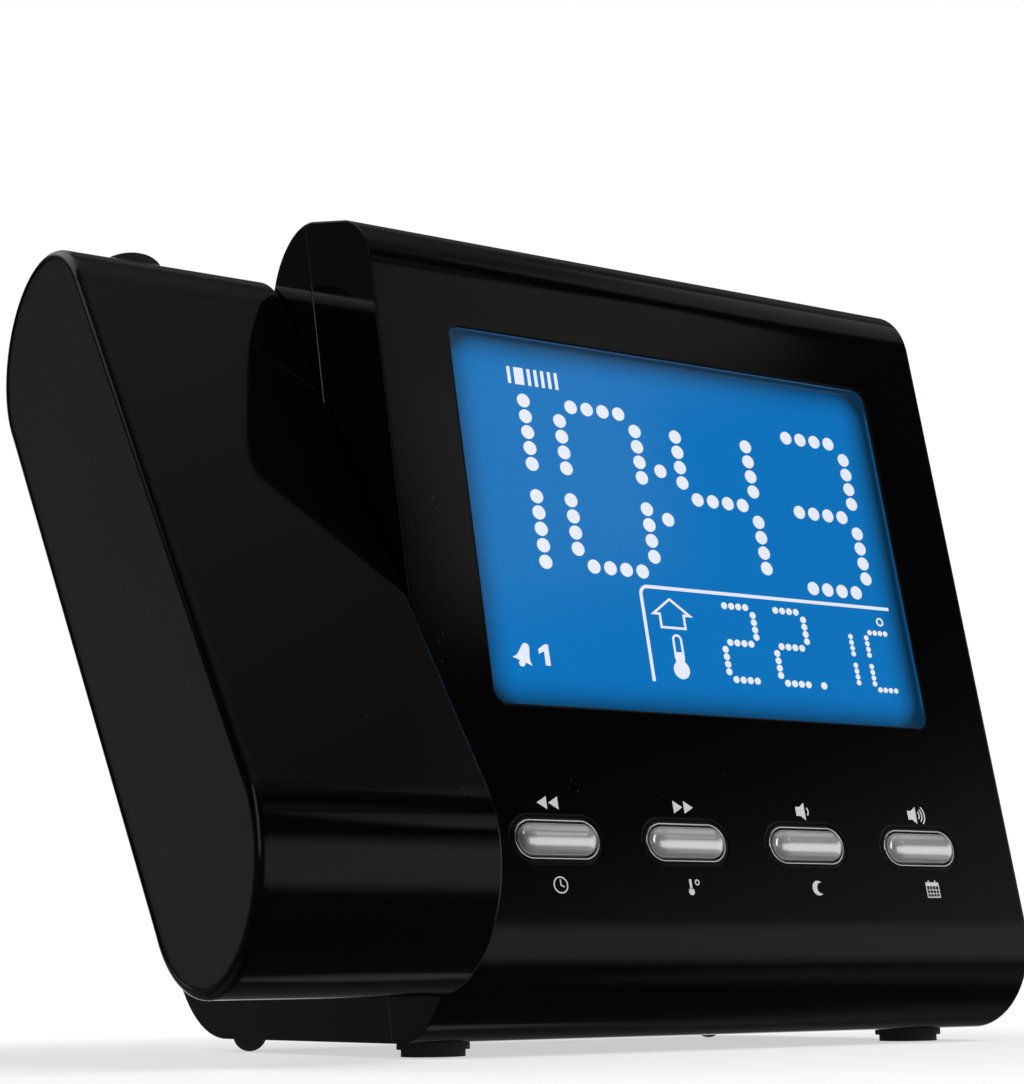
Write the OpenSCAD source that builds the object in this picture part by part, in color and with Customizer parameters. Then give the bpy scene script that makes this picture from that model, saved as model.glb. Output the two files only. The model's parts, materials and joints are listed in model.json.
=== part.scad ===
// Projection alarm clock: a leaning two-shell housing with a backlit display,
// four pill buttons and top keys, and a projector arm that swings on its left side.
// X runs to the right seen from the front, the front faces -Y, and Z is up.
// The origin is on the table, under the middle of the clock.

/* [Body] */
// Width of the main body
body_w = 127.7; // [126:0.1:145]
// Height of the body's crest above the table
body_h = 153.7; // [150:0.1:165]
// Depth of the body from the foot of its front plane to its heel
body_d = 112.5; // [105:0.5:125]
// Backward lean of the front face, in degrees
front_lean = 12; // [8:0.5:15]
// Gap between the table and the flat underside
floor_gap = 2.4; // [2:0.1:4]
// Radius of the chin below the buttons
chin_r = 16; // [12:0.5:18]
// Radius of the heel at the lower back
heel_r = 26; // [20:0.5:30]
// Radius of the brow, where the front turns into the top
brow_r = 13.5; // [11:0.5:15]
// How far the brow's centre lies below the body's crest
brow_drop = 16.7; // [14.5:0.1:19]
// Radius of the crown at the upper back
crown_r = 13.5; // [12:0.5:15]
// How far the crown's centre lies behind the brow's centre
crown_back = 12; // [9:0.5:16]
// Wall thickness of both covers
wall = 2.4; // [2:0.1:2.6]
// Depth of the front cover, from the front face to the seam
seam_depth = 22; // [21:0.5:26]
// Length of the lap that the rear cover puts inside the front cover
lap_l = 1.8; // [1:0.1:2.4]
// Thickness of that lap
lap_t = 1.1; // [0.8:0.1:1.2]

/* [Display] */
// Width of the front face left on each side of the display window
window_side = 14.7; // [14:0.1:18]
// Height of the window's lower edge, measured up the front face
window_low = 60.2; // [60:0.1:63]
// How far the window's upper edge lies below the front face's end at the brow
window_drop = 10.73; // [9.8:0.01:14]
// Corner radius of the window
window_r = 2.5; // [1:0.1:4]
// Border of the window's flange behind the front wall
window_lip = 1.8; // [1.2:0.1:2]
// Thickness of the window's front step, and of its flange
window_t = 1.2; // [1:0.1:1.4]
// How far the window's face lies behind the front face
window_sink = 0.4; // [0.2:0.1:0.8]
// Thickness of the display glass
lcd_t = 2.8; // [2.2:0.1:3.2]
// Thickness of the light guide
guide_t = 3; // [2:0.1:3.5]
// Wall of the display holder
holder_t = 2.6; // [2:0.1:3]

/* [Boards] */
// Thickness of every circuit board
board_t = 1.6; // [1:0.1:2]
// Depth of the boards' front faces behind the front face
board_depth = 12.4; // [12.4:0.1:13.4]
// Height of the key board, measured up the front face
key_board_h = 16; // [14:0.5:18]

/* [Front buttons] */
// Distance from the body's ends to the middles of the outer buttons
button_side = 23.35; // [22.6:0.05:26]
// Height of the button row, measured up the front face
button_v = 36.4; // [35:0.1:38]
// Length of a button
button_l = 16.6; // [15:0.1:17]
// Height of a button
button_h = 6.4; // [5:0.1:7]
// How far a button stands out of the front face
button_out = 1.9; // [1.2:0.1:2.2]
// Travel of a front button
button_travel = 0.8; // [0.4:0.1:1]
// Gap all round between a button and its socket
button_gap = 0.3; // [0.2:0.05:0.4]
// Wall of the bright socket ring
socket_t = 0.65; // [0.5:0.05:1]

/* [Top keys] */
// Angle of the key row around the crown, measured from the back
key_angle = 62; // [58:1:64]
// Width of a key across the crown
key_w = 9.4; // [8:0.1:10]
// Distance from the body's ends to the outer keys
key_side = 6.85; // [6:0.05:11]
// Length of a small key
key_l = 12; // [10:0.5:13]
// Clear distance between neighbouring keys
key_space = 5; // [4:0.5:6]
// How far the keys stand out of the crown
key_out = 0.8; // [0.5:0.1:1.2]
// Travel of a top key
key_travel = 0.8; // [0.4:0.1:1]
// Gap all round between a key and its slot
key_gap = 0.3; // [0.2:0.05:0.4]

/* [Arm] */
// Width of the projector arm
arm_w = 41.8; // [40:0.1:48]
// Radius of the arm's round ends, half its thickness
arm_r = 20.3; // [19:0.1:21.5]
// Distance between the centres of the arm's two round ends
arm_l = 121.5; // [112:0.5:125]
// Backward lean of the arm at rest, in degrees
arm_lean = 36.5; // [30:0.5:40]
// Height of the lower round end's centre above the table
barrel_z = 30.3; // [28:0.1:34]
// How far the front plane's foot lies in front of that centre
front_setback = 7.35; // [4:0.05:9]
// Gap between the arm and the body
side_gap = 0.5; // [0.4:0.1:1]
// Wall of the arm's shell
arm_wall = 3; // [2.6:0.1:3.6]
// Rounding of the arm's outer edge
arm_edge_r = 1.8; // [1:0.1:2.2]
// Thickness of the matte end cap
cap_t = 2.4; // [2:0.1:3]
// How far the end cap lies below the arm's rim
cap_sink = 0.3; // [0:0.1:0.6]

/* [Pivot] */
// Distance from the lower round end's centre up to the pivot
pivot_up = 24; // [22:0.5:30]
// Radius of the pivot hub
hub_r = 6; // [5:0.1:6.4]
// Radius of the wire passage through the hub
hub_bore_r = 3.4; // [2.5:0.1:4]
// Radius of the hub's flange inside the body
hub_flange_r = 8; // [7:0.1:8.2]
// Running clearance of the hub in its bush, on the radius
hub_fit = 0.05; // [0.02:0.01:0.1]
// Outer radius of the bush in the arm
bush_r = 8.6; // [8:0.1:10]

/* [Projector] */
// Backward lean of the projector's axis at rest, in degrees
lens_lean = 25; // [20:1:30]
// Outer radius of the focus ring
ring_r = 7; // [6.6:0.1:7.4]
// Height of the focus ring
ring_h = 3.3; // [3:0.1:4]
// Radius of the neck that the focus ring turns on
neck_r = 6; // [5.7:0.1:6.2]
// Radius of the lens cell
cell_r = 4.75; // [4.5:0.05:4.9]
// Length of the lens cell
cell_l = 7; // [6:0.1:8]
// Focusing travel of the lens cell
focus_travel = 1.6; // [1:0.1:1.8]
// Number of grip notches round the focus ring
grip_count = 24; // [12:2:30]
// Clearance of the ring and of the cell, on the radius
focus_fit = 0.05; // [0.02:0.01:0.1]

/* [Back] */
// Radius of the speaker's frame
speaker_r = 25; // [20:0.5:26]
// Height of the speaker's middle, measured up the back wall
speaker_s = 76; // [74:0.5:78]
// Width of a grille slot
slot_w = 1.8; // [1.2:0.1:2.4]
// Distance between grille slots
slot_pitch = 4.2; // [3.6:0.1:5]
// Length of the battery bay
bay_l = 52; // [50:0.5:56]
// Height of the battery bay, up the back wall
bay_h = 22.6; // [22:0.1:25]
// Depth of the battery bay below its door
bay_depth = 12; // [11.4:0.1:13]
// Height of the bay's middle, measured up the back wall
bay_s = 26; // [25:0.5:28]
// Thickness of the battery door
door_t = 1.5; // [1.2:0.1:1.8]
// Gap all round the battery door
door_gap = 0.3; // [0.2:0.05:0.4]
// Bore radius of the audio socket, for a 3.5 mm plug
audio_r = 1.8; // [1.76:0.01:1.9]
// Bore radius of the power inlet, for a 5.5 mm plug
inlet_r = 2.9; // [2.8:0.05:3.1]
// Radius of the two sockets' bodies
jack_r = 4.6; // [4.2:0.1:5]

/* [Feet] */
// Radius of a front foot's upper step
foot_r = 6.25; // [5:0.05:7]
// Inset of the front feet from the body's ends
foot_inset = 10.5; // [8:0.5:14]
// How far the front feet's centres lie behind the front plane's foot
foot_back = 27.3; // [24:0.1:32]
// Radius of a rear foot
heel_foot_r = 3.2; // [2.6:0.1:4]
// Inset of the left rear foot from the body's end
heel_foot_left = 5; // [4:0.5:8]
// Inset of the right rear foot from the body's end
heel_foot_right = 14; // [10:0.5:18]

/* [Screws] */
// Radius of the case screws' thread
screw_r = 1.4; // [1.2:0.1:1.5]
// Radius of the case screws' head
head_r = 2.8; // [2.4:0.1:3]
// Inset of the case screws from the body's ends
screw_inset = 6.8; // [6.6:0.1:7]
// Height of the lower case screws, measured up the front face
screw_low = 33; // [32:0.1:34]
// How far the upper case screws lie below the front face's end at the brow
screw_drop = 3.33; // [3:0.01:4]

/* [Hidden] */
$fn = 96;
// Straight sides of a belt lie this far inside the circles' tangents, so that they cross them cleanly
tangent_inset = 0.02;
// Distance that a cutting solid reaches past the surface it cuts
over = 1;
// The same for the strips of a rounded block, whose rims cross too
skin_inset = 0.06;
// How far below its rounding a block's skin laps over its core
skin_lap = 0.3;

// Widths, along X
overall_w = arm_w + side_gap + body_w;
x_arm = -overall_w / 2;
x_arm_in = x_arm + arm_w;
x_body = x_arm_in + side_gap;
x_end = x_body + body_w;
x_mid = x_body + body_w / 2;

// The lower round end of the arm is its barrel
barrel_y = (arm_r - body_d + front_setback) / 2;
front_y = barrel_y - front_setback;
pivot_y = barrel_y + pivot_up * sin(arm_lean);
pivot_z = barrel_z + pivot_up * cos(arm_lean);

// Circles of the body's side profile, as [y, z, r], counter-clockwise from the chin
function behind_front(z, r) = front_y + z * tan(front_lean) + r / cos(front_lean);
brow_z = body_h - brow_drop;
chin = [behind_front(floor_gap + chin_r, chin_r), floor_gap + chin_r, chin_r];
heel = [front_y + body_d - heel_r, floor_gap + heel_r, heel_r];
brow = [behind_front(brow_z, brow_r), brow_z, brow_r];
crown = [brow[0] + crown_back, body_h - crown_r, crown_r];
BODY_CIRCLES = [chin, heel, crown, brow];

// Direction of the outward normal of the belt's side from circle a to circle b
function side_normal(a, b) =
    atan2(b[1] - a[1], b[0] - a[0]) - acos((a[2] - b[2]) / norm([b[0] - a[0], b[1] - a[1]]));
function on_circle(c, angle, r) = [c[0] + r * cos(angle), c[1] + r * sin(angle)];

// The back wall runs between the heel and the crown
back_lean = side_normal(heel, crown);
back_foot = on_circle(heel, back_lean, heel_r);

// The front face ends where it meets the brow
face_end = (brow_z + brow_r * sin(front_lean)) / cos(front_lean);

// Window, between the margins that the front face leaves
window_w = body_w - 2 * window_side;
window_h = face_end - window_drop - window_low;
window_v = window_low + window_h / 2;

// Display stack, as depths behind the front face
flange_d = window_sink + window_t;
lcd_d = flange_d + window_t + 0.2;
guide_d = lcd_d + lcd_t + 0.2;
lcd_w = window_w + 2 * window_lip;
lcd_h = window_h + 2 * window_lip;
holder_w = lcd_w + 2 * holder_t;
holder_h = lcd_h + 2 * holder_t;
holder_d = wall + tangent_inset;
// Posts of the front cover that carry the boards, and their screws
board_post_r = 2.6;
board_screw_r = 0.9;
post_x = holder_w / 2 + board_post_r + 0.4;
post_v = holder_h / 2 - 14.4;
main_board_w = 2 * (post_x + board_post_r);
main_board_h = holder_h - 8;
strip_h = 2;
strip_l = lcd_w - 16;

// Front buttons
button_count = 4;
button_x0 = x_body + button_side;
button_pitch = (body_w - 2 * button_side) / (button_count - 1);
socket_l = button_l + 2 * button_gap;
socket_h = button_h + 2 * button_gap;
button_root = wall + 3;
button_crown_r = button_h / 2 + 1;
flange_gap = 0.3;
switch_h = board_depth - button_root - 1 - button_travel - flange_gap;

// Top keys: one long bar with two small keys on each side
snooze_l = body_w - 2 * key_side - 4 * (key_l + key_space);
key_lengths = [key_l, key_l, snooze_l, key_l, key_l];
key_step = (snooze_l + key_l) / 2 + key_space;
key_xs = [-key_step - key_l - key_space, -key_step, 0, key_step, key_step + key_l + key_space];
key_root = crown_r - wall - 3;
key_flange = 1;
top_switch_h = 2;
top_board_r = key_root - key_travel - flange_gap - top_switch_h;
top_board_w = 13;
top_face = top_board_r - key_flange;

// Pivot hardware, as distances along X
arm_in_wall = 3;
bush_flange_t = 1.2;
washer_t = 0.8;
nut_t = 3;
hub_end = x_arm_in - arm_in_wall - bush_flange_t - washer_t - nut_t;
hub_flange_t = 2;

// Projector axis, with distances measured from the centre of the arm's upper round end
x_lens = x_arm + arm_w / 2;
tube_top = arm_r + 0.4;
ring_base = tube_top + 0.3;
ring_top = ring_base + ring_h;
ring_lip = 0.8;
neck_top = ring_top - ring_lip - 0.15;
cell_top = neck_top - focus_travel;
tube_r = neck_r + 1.5;
tube_base = 6;
led_r = 2.5;
optic_r = 5.4;
pocket = 11;

// Back
rear_skin = wall;
bay_wall = 1.4;
door_l = bay_l + 6;
door_h = bay_h + 4;
door_thick = door_t - 0.1;
grille_r = speaker_r - 4;
slot_count = 2 * floor(grille_r / slot_pitch) + 1;
bay_roof = door_t + bay_depth + bay_wall;
rod_r = 4;
rod_l = 60;
coil_t = 1.2;
rod_z = bay_roof + rod_r + coil_t + 0.3;
rib_t = 2;
jack_x = 46;
jack_s = 12;
grommet_r = 2.4;

// Screws
post_r = 3.1;
well_r = head_r + 0.3;
well_wall = 1.2;
well_floor = 2.5;
screw_grip = 9;
screw_v = [screw_low, face_end - screw_drop];

// ---- shared shapes -------------------------------------------------------

// Flat shape with round corners: straight sides tangent to a ring of [x, y, r] circles
module belt(circles, inset = 0) {
    n = len(circles);
    polygon([
        for (i = [0 : n - 1])
            let (a = circles[i], b = circles[(i + 1) % n], t = side_normal(a, b))
                each [
                    on_circle(a, t, a[2] - inset - tangent_inset),
                    on_circle(b, t, b[2] - inset - tangent_inset)
                ]
    ]);
    for (c = circles) translate([c[0], c[1]]) circle(r = c[2] - inset);
}

module pill(l, h) {
    belt([[-(l - h) / 2, 0, h / 2], [(l - h) / 2, 0, h / 2]]);
}

module rounded_rect(w, h, r) {
    belt([[-w / 2 + r, -h / 2 + r, r], [w / 2 - r, -h / 2 + r, r],
          [w / 2 - r, h / 2 - r, r], [-w / 2 + r, h / 2 - r, r]]);
}

// Extrudes a (Y, Z) shape along X, between two X places
module along_x(x0, x1) {
    translate([x0, 0, 0]) rotate([90, 0, 90]) linear_extrude(x1 - x0) children();
}

// Section through a block's skin: X places across, depth below the surface upwards
module skin_section(x0, x1, e0, e1) {
    e = max(e0, e1);
    translate([x0 + e0, 0]) square([x1 - x0 - e0 - e1, 2 * e]);
    translate([x0, e]) square([x1 - x0, e]);
    if (e0 > 0) translate([x0 + e0, e0]) circle(r = e0, $fn = 24);
    if (e1 > 0) translate([x1 - e1, e1]) circle(r = e1, $fn = 24);
}

// A belt extruded along X, with its rims rounded by e0 at x0 and by e1 at x1:
// a plain core, and a skin of one ring at each circle and one strip along each straight side
module rounded_block(circles, x0, x1, e0, e1) {
    n = len(circles);
    along_x(x0, x1) belt(circles, max(e0, e1) + skin_lap);
    for (i = [0 : n - 1]) {
        a = circles[i];
        b = circles[(i + 1) % n];
        t = side_normal(a, b);
        p = on_circle(a, t, a[2] - skin_inset);
        q = on_circle(b, t, b[2] - skin_inset);
        translate([0, q[0], q[1]]) rotate([t + 180, 0, 0])
            linear_extrude(norm(q - p)) skin_section(x0, x1, e0, e1);
        translate([0, a[0], a[1]]) rotate([90, 0, 90]) rotate_extrude()
            translate([a[2], 0]) rotate([0, 0, 90]) skin_section(x0, x1, e0, e1);
    }
}

// Cylinder along X
module rod_x(x0, x1, r) {
    translate([x0, 0, 0]) rotate([0, 90, 0]) cylinder(h = x1 - x0, r = r);
}

// Front frame: x along X, y up the front face, z out of it
module on_front() {
    translate([0, front_y, 0]) rotate([90 - front_lean, 0, 0]) children();
}

// A plate in the front frame, between two depths behind the front face
module front_plate(d0, d1, x = x_mid, v = window_v) {
    on_front() translate([x, v, -d1]) linear_extrude(d1 - d0) children();
}

// Back frame: x along X, y up the back wall, z into the body
module on_back() {
    translate([0, back_foot[0], back_foot[1]]) rotate([90 + back_lean, 0, 0]) children();
}

// Key frame: z out of the crown along the keys' travel
module on_crown() {
    translate([x_mid, crown[0], crown[1]]) rotate([key_angle - 90, 0, 0]) children();
}

// Arm frame: z up the arm from the barrel's centre, y to its back
module on_arm() {
    translate([0, barrel_y, barrel_z]) rotate([-arm_lean, 0, 0]) children();
}

// Lens frame: z along the projector's axis, from the centre of the upper round end
module on_lens() {
    on_arm() translate([x_lens, 0, arm_l]) rotate([arm_lean - lens_lean, 0, 0]) children();
}

module at_pivot() {
    translate([0, pivot_y, pivot_z]) children();
}

// ---- covers --------------------------------------------------------------

module body_outer() {
    along_x(x_body, x_end) belt(BODY_CIRCLES);
}

module body_block(inset, ends) {
    along_x(x_body + ends, x_end - ends) belt(BODY_CIRCLES, inset);
}

// Everything ahead of a plane parallel to the front face
module ahead_of(depth) {
    on_front() translate([x_body - over, -body_h, -depth])
        cube([body_w + 2 * over, 3 * body_h, depth + over]);
}

// Places of the four case screws, in the front frame
module at_screws() {
    on_front()
        for (x = [x_body + screw_inset, x_end - screw_inset])
            for (v = screw_v) translate([x, v, 0]) children();
}

module button_places() {
    on_front() for (i = [0 : button_count - 1])
        translate([button_x0 + i * button_pitch, button_v, 0]) children();
}

module screw_posts() {
    intersection() {
        body_block(wall / 2, wall / 2);
        at_screws() translate([0, 0, -seam_depth]) cylinder(h = seam_depth - wall, r = post_r);
    }
}

module front_cover() color([0.02, 0.02, 0.022]) difference() {
    union() {
        difference() {
            intersection() {
                body_outer();
                ahead_of(seam_depth);
            }
            body_block(wall, wall);
        }
        screw_posts();
        board_post_places() translate([0, 0, -board_depth])
            cylinder(h = board_depth - wall / 2, r = board_post_r);
    }
    // room for the rear cover's lap
    difference() {
        body_block(wall - lap_t, wall - lap_t);
        ahead_of(seam_depth - lap_l);
        body_block(wall, wall);
    }
    front_plate(-over, wall + over) rounded_rect(window_w, window_h, window_r);
    front_plate(flange_d, wall + over) rounded_rect(lcd_w, lcd_h, window_r);
    button_places() translate([0, 0, -wall - over]) linear_extrude(wall + 2 * over)
        pill(socket_l + 2 * socket_t, socket_h + 2 * socket_t);
    at_screws() translate([0, 0, -seam_depth - over]) cylinder(h = screw_grip + over, r = screw_r);
    board_post_places() translate([0, 0, -board_depth - over]) cylinder(h = 6, r = board_screw_r + 0.02);
    at_pivot() rod_x(x_body - over, x_body + wall + over, hub_r + hub_fit);
}

module screw_wells() {
    intersection() {
        body_block(wall / 2, wall / 2);
        at_screws() translate([0, 0, -2 * body_d])
            cylinder(h = 2 * body_d - seam_depth, r = well_r + well_wall);
    }
}

// Four ribs hang between the keys and carry the key board's face
module key_ribs() {
    on_crown()
        for (side = [-1, 1])
            for (x = [(snooze_l + key_space) / 2, key_step + (key_l + key_space) / 2])
                translate([side * x - rib_t / 2, -top_board_w / 3, top_face])
                    cube([rib_t, top_board_w / 1.5, crown_r - wall / 2 - top_face - 1.2]);
}

// Rim that centres the speaker on the back wall
module speaker_rim() {
    at_speaker() translate([0, 0, -wall / 2]) difference() {
        cylinder(h = wall / 2 + 3, r = speaker_r + 1.8);
        translate([0, 0, -over]) cylinder(h = wall / 2 + 3 + 2 * over, r = speaker_r + 0.2);
    }
}

// Two saddles on the battery bay's roof hold the ferrite rod
module rod_saddles() {
    for (side = [-1, 1]) on_back()
        translate([x_mid + side * (rod_l / 2 - 3) - rib_t / 2, bay_s - rod_r - 1, bay_roof - 0.5])
            cube([rib_t, 2 * rod_r + 2, rod_z - bay_roof + 0.5]);
}

module battery_bay_box(grow) {
    on_back() translate([x_mid - bay_l / 2 - grow, bay_s - bay_h / 2 - grow, 0])
        cube([bay_l + 2 * grow, bay_h + 2 * grow, door_t + bay_depth + grow]);
}

// Round grille: parallel slots whose ends follow a circle
module grille_slots() {
    on_back() translate([x_mid, speaker_s, -over])
        for (i = [-(slot_count - 1) / 2 : (slot_count - 1) / 2])
            let (y = i * slot_pitch, l = 2 * sqrt(max(grille_r * grille_r - y * y, 36)))
                translate([0, y, 0]) linear_extrude(wall + 2 * over) pill(l, slot_w);
}

module rear_cover() color([0.03, 0.03, 0.032]) difference() {
    union() {
        difference() {
            body_outer();
            body_block(wall, wall);
            ahead_of(seam_depth);
        }
        // lap inside the front cover
        difference() {
            intersection() {
                body_block(wall - lap_t + 0.05, wall - lap_t + 0.05);
                ahead_of(seam_depth);
            }
            ahead_of(seam_depth - lap_l + 0.1);
            body_block(wall, wall);
        }
        difference() {
            screw_wells();
            ahead_of(seam_depth);
        }
        battery_bay_box(bay_wall);
        key_ribs();
        speaker_rim();
        rod_saddles();
    }
    battery_bay_box(0);
    at_rod() rod_x(-rod_l, rod_l, rod_r);
    on_back() translate([x_mid - door_l / 2 - door_gap, bay_s - door_h / 2 - door_gap, -over])
        cube([door_l + 2 * door_gap, door_h + 2 * door_gap, door_t + over]);
    grille_slots();
    at_screws() translate([0, 0, -2 * body_d])
        cylinder(h = 2 * body_d - seam_depth - well_floor, r = well_r);
    at_screws() translate([0, 0, -2 * body_d]) cylinder(h = 2 * body_d, r = screw_r + 0.1);
    for (i = [0 : 4]) on_crown() translate([key_xs[i], 0, 0]) linear_extrude(crown_r + over)
        rounded_rect(key_lengths[i] + 2 * key_gap, key_w + 2 * key_gap, 1.5);
    on_back() translate([x_mid + jack_x, jack_s, -over]) cylinder(h = wall + 2 * over, r = jack_r);
    on_back() translate([x_mid - jack_x, jack_s, -over]) cylinder(h = wall + 2 * over, r = jack_r);
    on_back() translate([x_mid - jack_x, 2.5 * jack_s, -over]) cylinder(h = wall + 2 * over, r = grommet_r);
    at_feet(front = true) translate([0, 0, -over]) cylinder(h = over + 1, r = foot_r * 0.5);
    at_feet(front = false) translate([0, 0, -over]) cylinder(h = over + 1, r = heel_foot_r * 0.6);
}

// ---- display and boards --------------------------------------------------

module display_window() color([0.05, 0.2, 0.4, 0.5]) {
    front_plate(window_sink, flange_d) rounded_rect(window_w - 0.1, window_h - 0.1, window_r);
    front_plate(flange_d, flange_d + window_t) rounded_rect(lcd_w - 0.2, lcd_h - 0.2, window_r);
}

module lcd_panel() color([0.04, 0.45, 0.75])
    front_plate(lcd_d, lcd_d + lcd_t) rounded_rect(lcd_w - 0.4, lcd_h - 0.4, 1);

module display_holder() color([0.9, 0.9, 0.88]) difference() {
    front_plate(holder_d, board_depth) rounded_rect(holder_w, holder_h, 2);
    front_plate(holder_d - over, board_depth + over) rounded_rect(lcd_w, lcd_h, 1);
}

module light_guide() color([0.95, 0.97, 1])
    front_plate(guide_d, guide_d + guide_t) rounded_rect(lcd_w - 0.4, lcd_h - 3 * strip_h - 2, 1);

module elastomer_strips() color([0.85, 0.75, 0.7])
    for (side = [-1, 1])
        front_plate(lcd_d + lcd_t, board_depth, v = window_v + side * (lcd_h / 2 - strip_h))
            square([strip_l, strip_h], center = true);

module backlight_leds() color([0.9, 0.95, 1])
    for (side = [-1, 1])
        for (i = [-1 : 1])
            front_plate(guide_d + guide_t + 0.2, board_depth, x = x_mid + side * 36, v = window_v + i * 20)
                square([3, 3], center = true);

// Four posts beside the display and two between the buttons
module board_post_places() {
    on_front() for (side = [-1, 1]) {
        for (dv = [-post_v, post_v]) translate([x_mid + side * post_x, window_v + dv, 0]) children();
        translate([x_mid + side * button_pitch * (button_count / 2 - 1), button_v, 0]) children();
    }
}

module screw_holes() {
    board_post_places() translate([0, 0, -board_depth - board_t - over])
        cylinder(h = board_t + 2 * over, r = board_screw_r + 0.1);
}

module main_board() color([0.1, 0.35, 0.15]) difference() {
    front_plate(board_depth, board_depth + board_t) rounded_rect(main_board_w, main_board_h, 2);
    screw_holes();
}

// Controller, tuner, crystal and two capacitors on the back of the main board
module board_chips() color([0.08, 0.08, 0.09]) {
    back = board_depth + board_t;
    front_plate(back, back + 1.6, x_mid - 16, window_v + 8) square([16, 16], center = true);
    front_plate(back, back + 1.4, x_mid + 16, window_v + 10) square([10, 8], center = true);
    front_plate(back, back + 3, x_mid + 2, window_v + 8) pill(10, 4);
    for (i = [0, 1]) front_plate(back, back + 11, x_mid + 30 + 9 * i, window_v - 18) circle(r = 3);
}

module key_board() color([0.1, 0.35, 0.15]) difference() {
    front_plate(board_depth, board_depth + board_t, v = button_v)
        rounded_rect(button_pitch * (button_count - 1) + button_l + 8, key_board_h, 1);
    screw_holes();
}

module tact_switch(h) {
    linear_extrude(h * 0.6) square([6, 6], center = true);
    cylinder(h = h, r = 1.7);
}

module front_switches() color([0.15, 0.15, 0.16])
    button_places() translate([0, 0, -board_depth]) tact_switch(switch_h);

module board_screws() color([0.75, 0.75, 0.77])
    board_post_places() translate([0, 0, -board_depth]) {
        translate([0, 0, -board_t]) cylinder(h = board_t + 4.5, r = board_screw_r);
        translate([0, 0, -board_t - 1.2]) cylinder(h = 1.2, r = 1.7);
    }

// ---- controls ------------------------------------------------------------

module button_sockets() color([0.8, 0.8, 0.82])
    button_places() translate([0, 0, -button_root + flange_gap])
        linear_extrude(button_root - flange_gap - 0.15) difference() {
            pill(socket_l + 2 * socket_t - 0.1, socket_h + 2 * socket_t - 0.1);
            pill(socket_l, socket_h);
        }

// Pill button: its head is crowned across its height, and the flange at its root meets its switch
module front_button(i) color([0.85, 0.85, 0.87])
    on_front() translate([button_x0 + i * button_pitch, button_v, 0]) {
        intersection() {
            translate([0, 0, -button_root])
                linear_extrude(button_root + button_out + over) pill(button_l, button_h);
            union() {
                translate([0, 0, button_out - button_crown_r])
                    rod_x(-button_l, button_l, button_crown_r);
                translate([-button_l, -button_h, -button_root - over])
                    cube([2 * button_l, 2 * button_h, button_root]);
            }
        }
        translate([0, 0, -button_root - 1]) linear_extrude(1) pill(button_l + 2, button_h + 2);
    }

// Crown key: a slice of the crown's own curve on a straight shank
module crown_key(i) color([0.05, 0.05, 0.055])
    on_crown() translate([key_xs[i], 0, 0]) {
        intersection() {
            translate([0, 0, key_root]) linear_extrude(crown_r) rounded_rect(key_lengths[i], key_w, 1.2);
            rod_x(-key_lengths[i], key_lengths[i], crown_r + key_out);
        }
        translate([0, 0, key_root - key_flange]) linear_extrude(key_flange)
            square([key_lengths[i] + 2, key_w + 1], center = true);
    }

module top_key_board() color([0.1, 0.35, 0.15])
    on_crown() translate([0, 0, top_face - board_t]) linear_extrude(board_t)
        rounded_rect(2 * (key_xs[4] + key_l / 2), top_board_w, 1);

module top_switches() color([0.15, 0.15, 0.16])
    on_crown() for (x = key_xs) translate([x, 0, top_face]) tact_switch(top_switch_h);

// ---- speaker, aerial and sockets ------------------------------------------

module at_speaker() {
    on_back() translate([x_mid, speaker_s, rear_skin]) children();
}

module speaker_frame() color([0.2, 0.2, 0.21]) at_speaker() rotate_extrude()
    polygon([[speaker_r - 4, 0], [speaker_r, 0], [speaker_r, 2], [speaker_r - 3, 2],
             [speaker_r * 0.5, 13], [8, 13], [8, 11.8], [speaker_r * 0.46, 11.8], [speaker_r - 4, 1.4]]);

module speaker_cone() color([0.1, 0.1, 0.1]) at_speaker() rotate_extrude()
    polygon([[speaker_r - 4.4, 1.6], [speaker_r - 4.2, 1], [speaker_r - 5.4, 1], [7, 8], [3, 5],
             [0, 4.4], [0, 5.2], [2.8, 5.8], [6.9, 9.2]]);

module speaker_magnet() color([0.3, 0.3, 0.32]) at_speaker() {
    translate([0, 0, 13]) cylinder(h = 6, r = speaker_r * 0.52);
    translate([0, 0, 9.6]) cylinder(h = 3.4, r = 5.5);
}

module at_rod() {
    on_back() translate([x_mid, bay_s, rod_z]) children();
}

module ferrite_rod() color([0.25, 0.25, 0.26]) at_rod() rod_x(-rod_l / 2, rod_l / 2, rod_r - 0.02);

module antenna_coil() color([0.7, 0.4, 0.2]) at_rod() difference() {
    rod_x(-rod_l / 2 + 8, -4, rod_r + coil_t);
    rod_x(-rod_l / 2, 0, rod_r);
}

module antenna_grommet() color([0.05, 0.05, 0.05])
    on_back() translate([x_mid - jack_x, 2.5 * jack_s, 0]) difference() {
        union() {
            translate([0, 0, -0.8]) cylinder(h = 0.8, r = grommet_r + 0.9);
            cylinder(h = wall + 1.5, r = grommet_r - tangent_inset);
        }
        translate([0, 0, -over]) cylinder(h = wall + 3 * over, r = 1);
    }

// Barrel of a panel socket: flush face, blind bore and a square body behind the wall
module panel_socket(x, bore_r) {
    on_back() translate([x, jack_s, 0]) difference() {
        union() {
            cylinder(h = wall, r = jack_r - 0.05);
            translate([-jack_r - 1, -jack_r - 1, wall + tangent_inset])
                cube([2 * jack_r + 2, 2 * jack_r + 2, 10]);
        }
        translate([0, 0, -over]) cylinder(h = 9.5 + over, r = bore_r);
    }
}

module power_inlet() color([0.08, 0.08, 0.085]) {
    panel_socket(x_mid + jack_x, inlet_r);
    on_back() translate([x_mid + jack_x, jack_s, 1.5]) cylinder(h = 9, r = 0.95);
}

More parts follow.
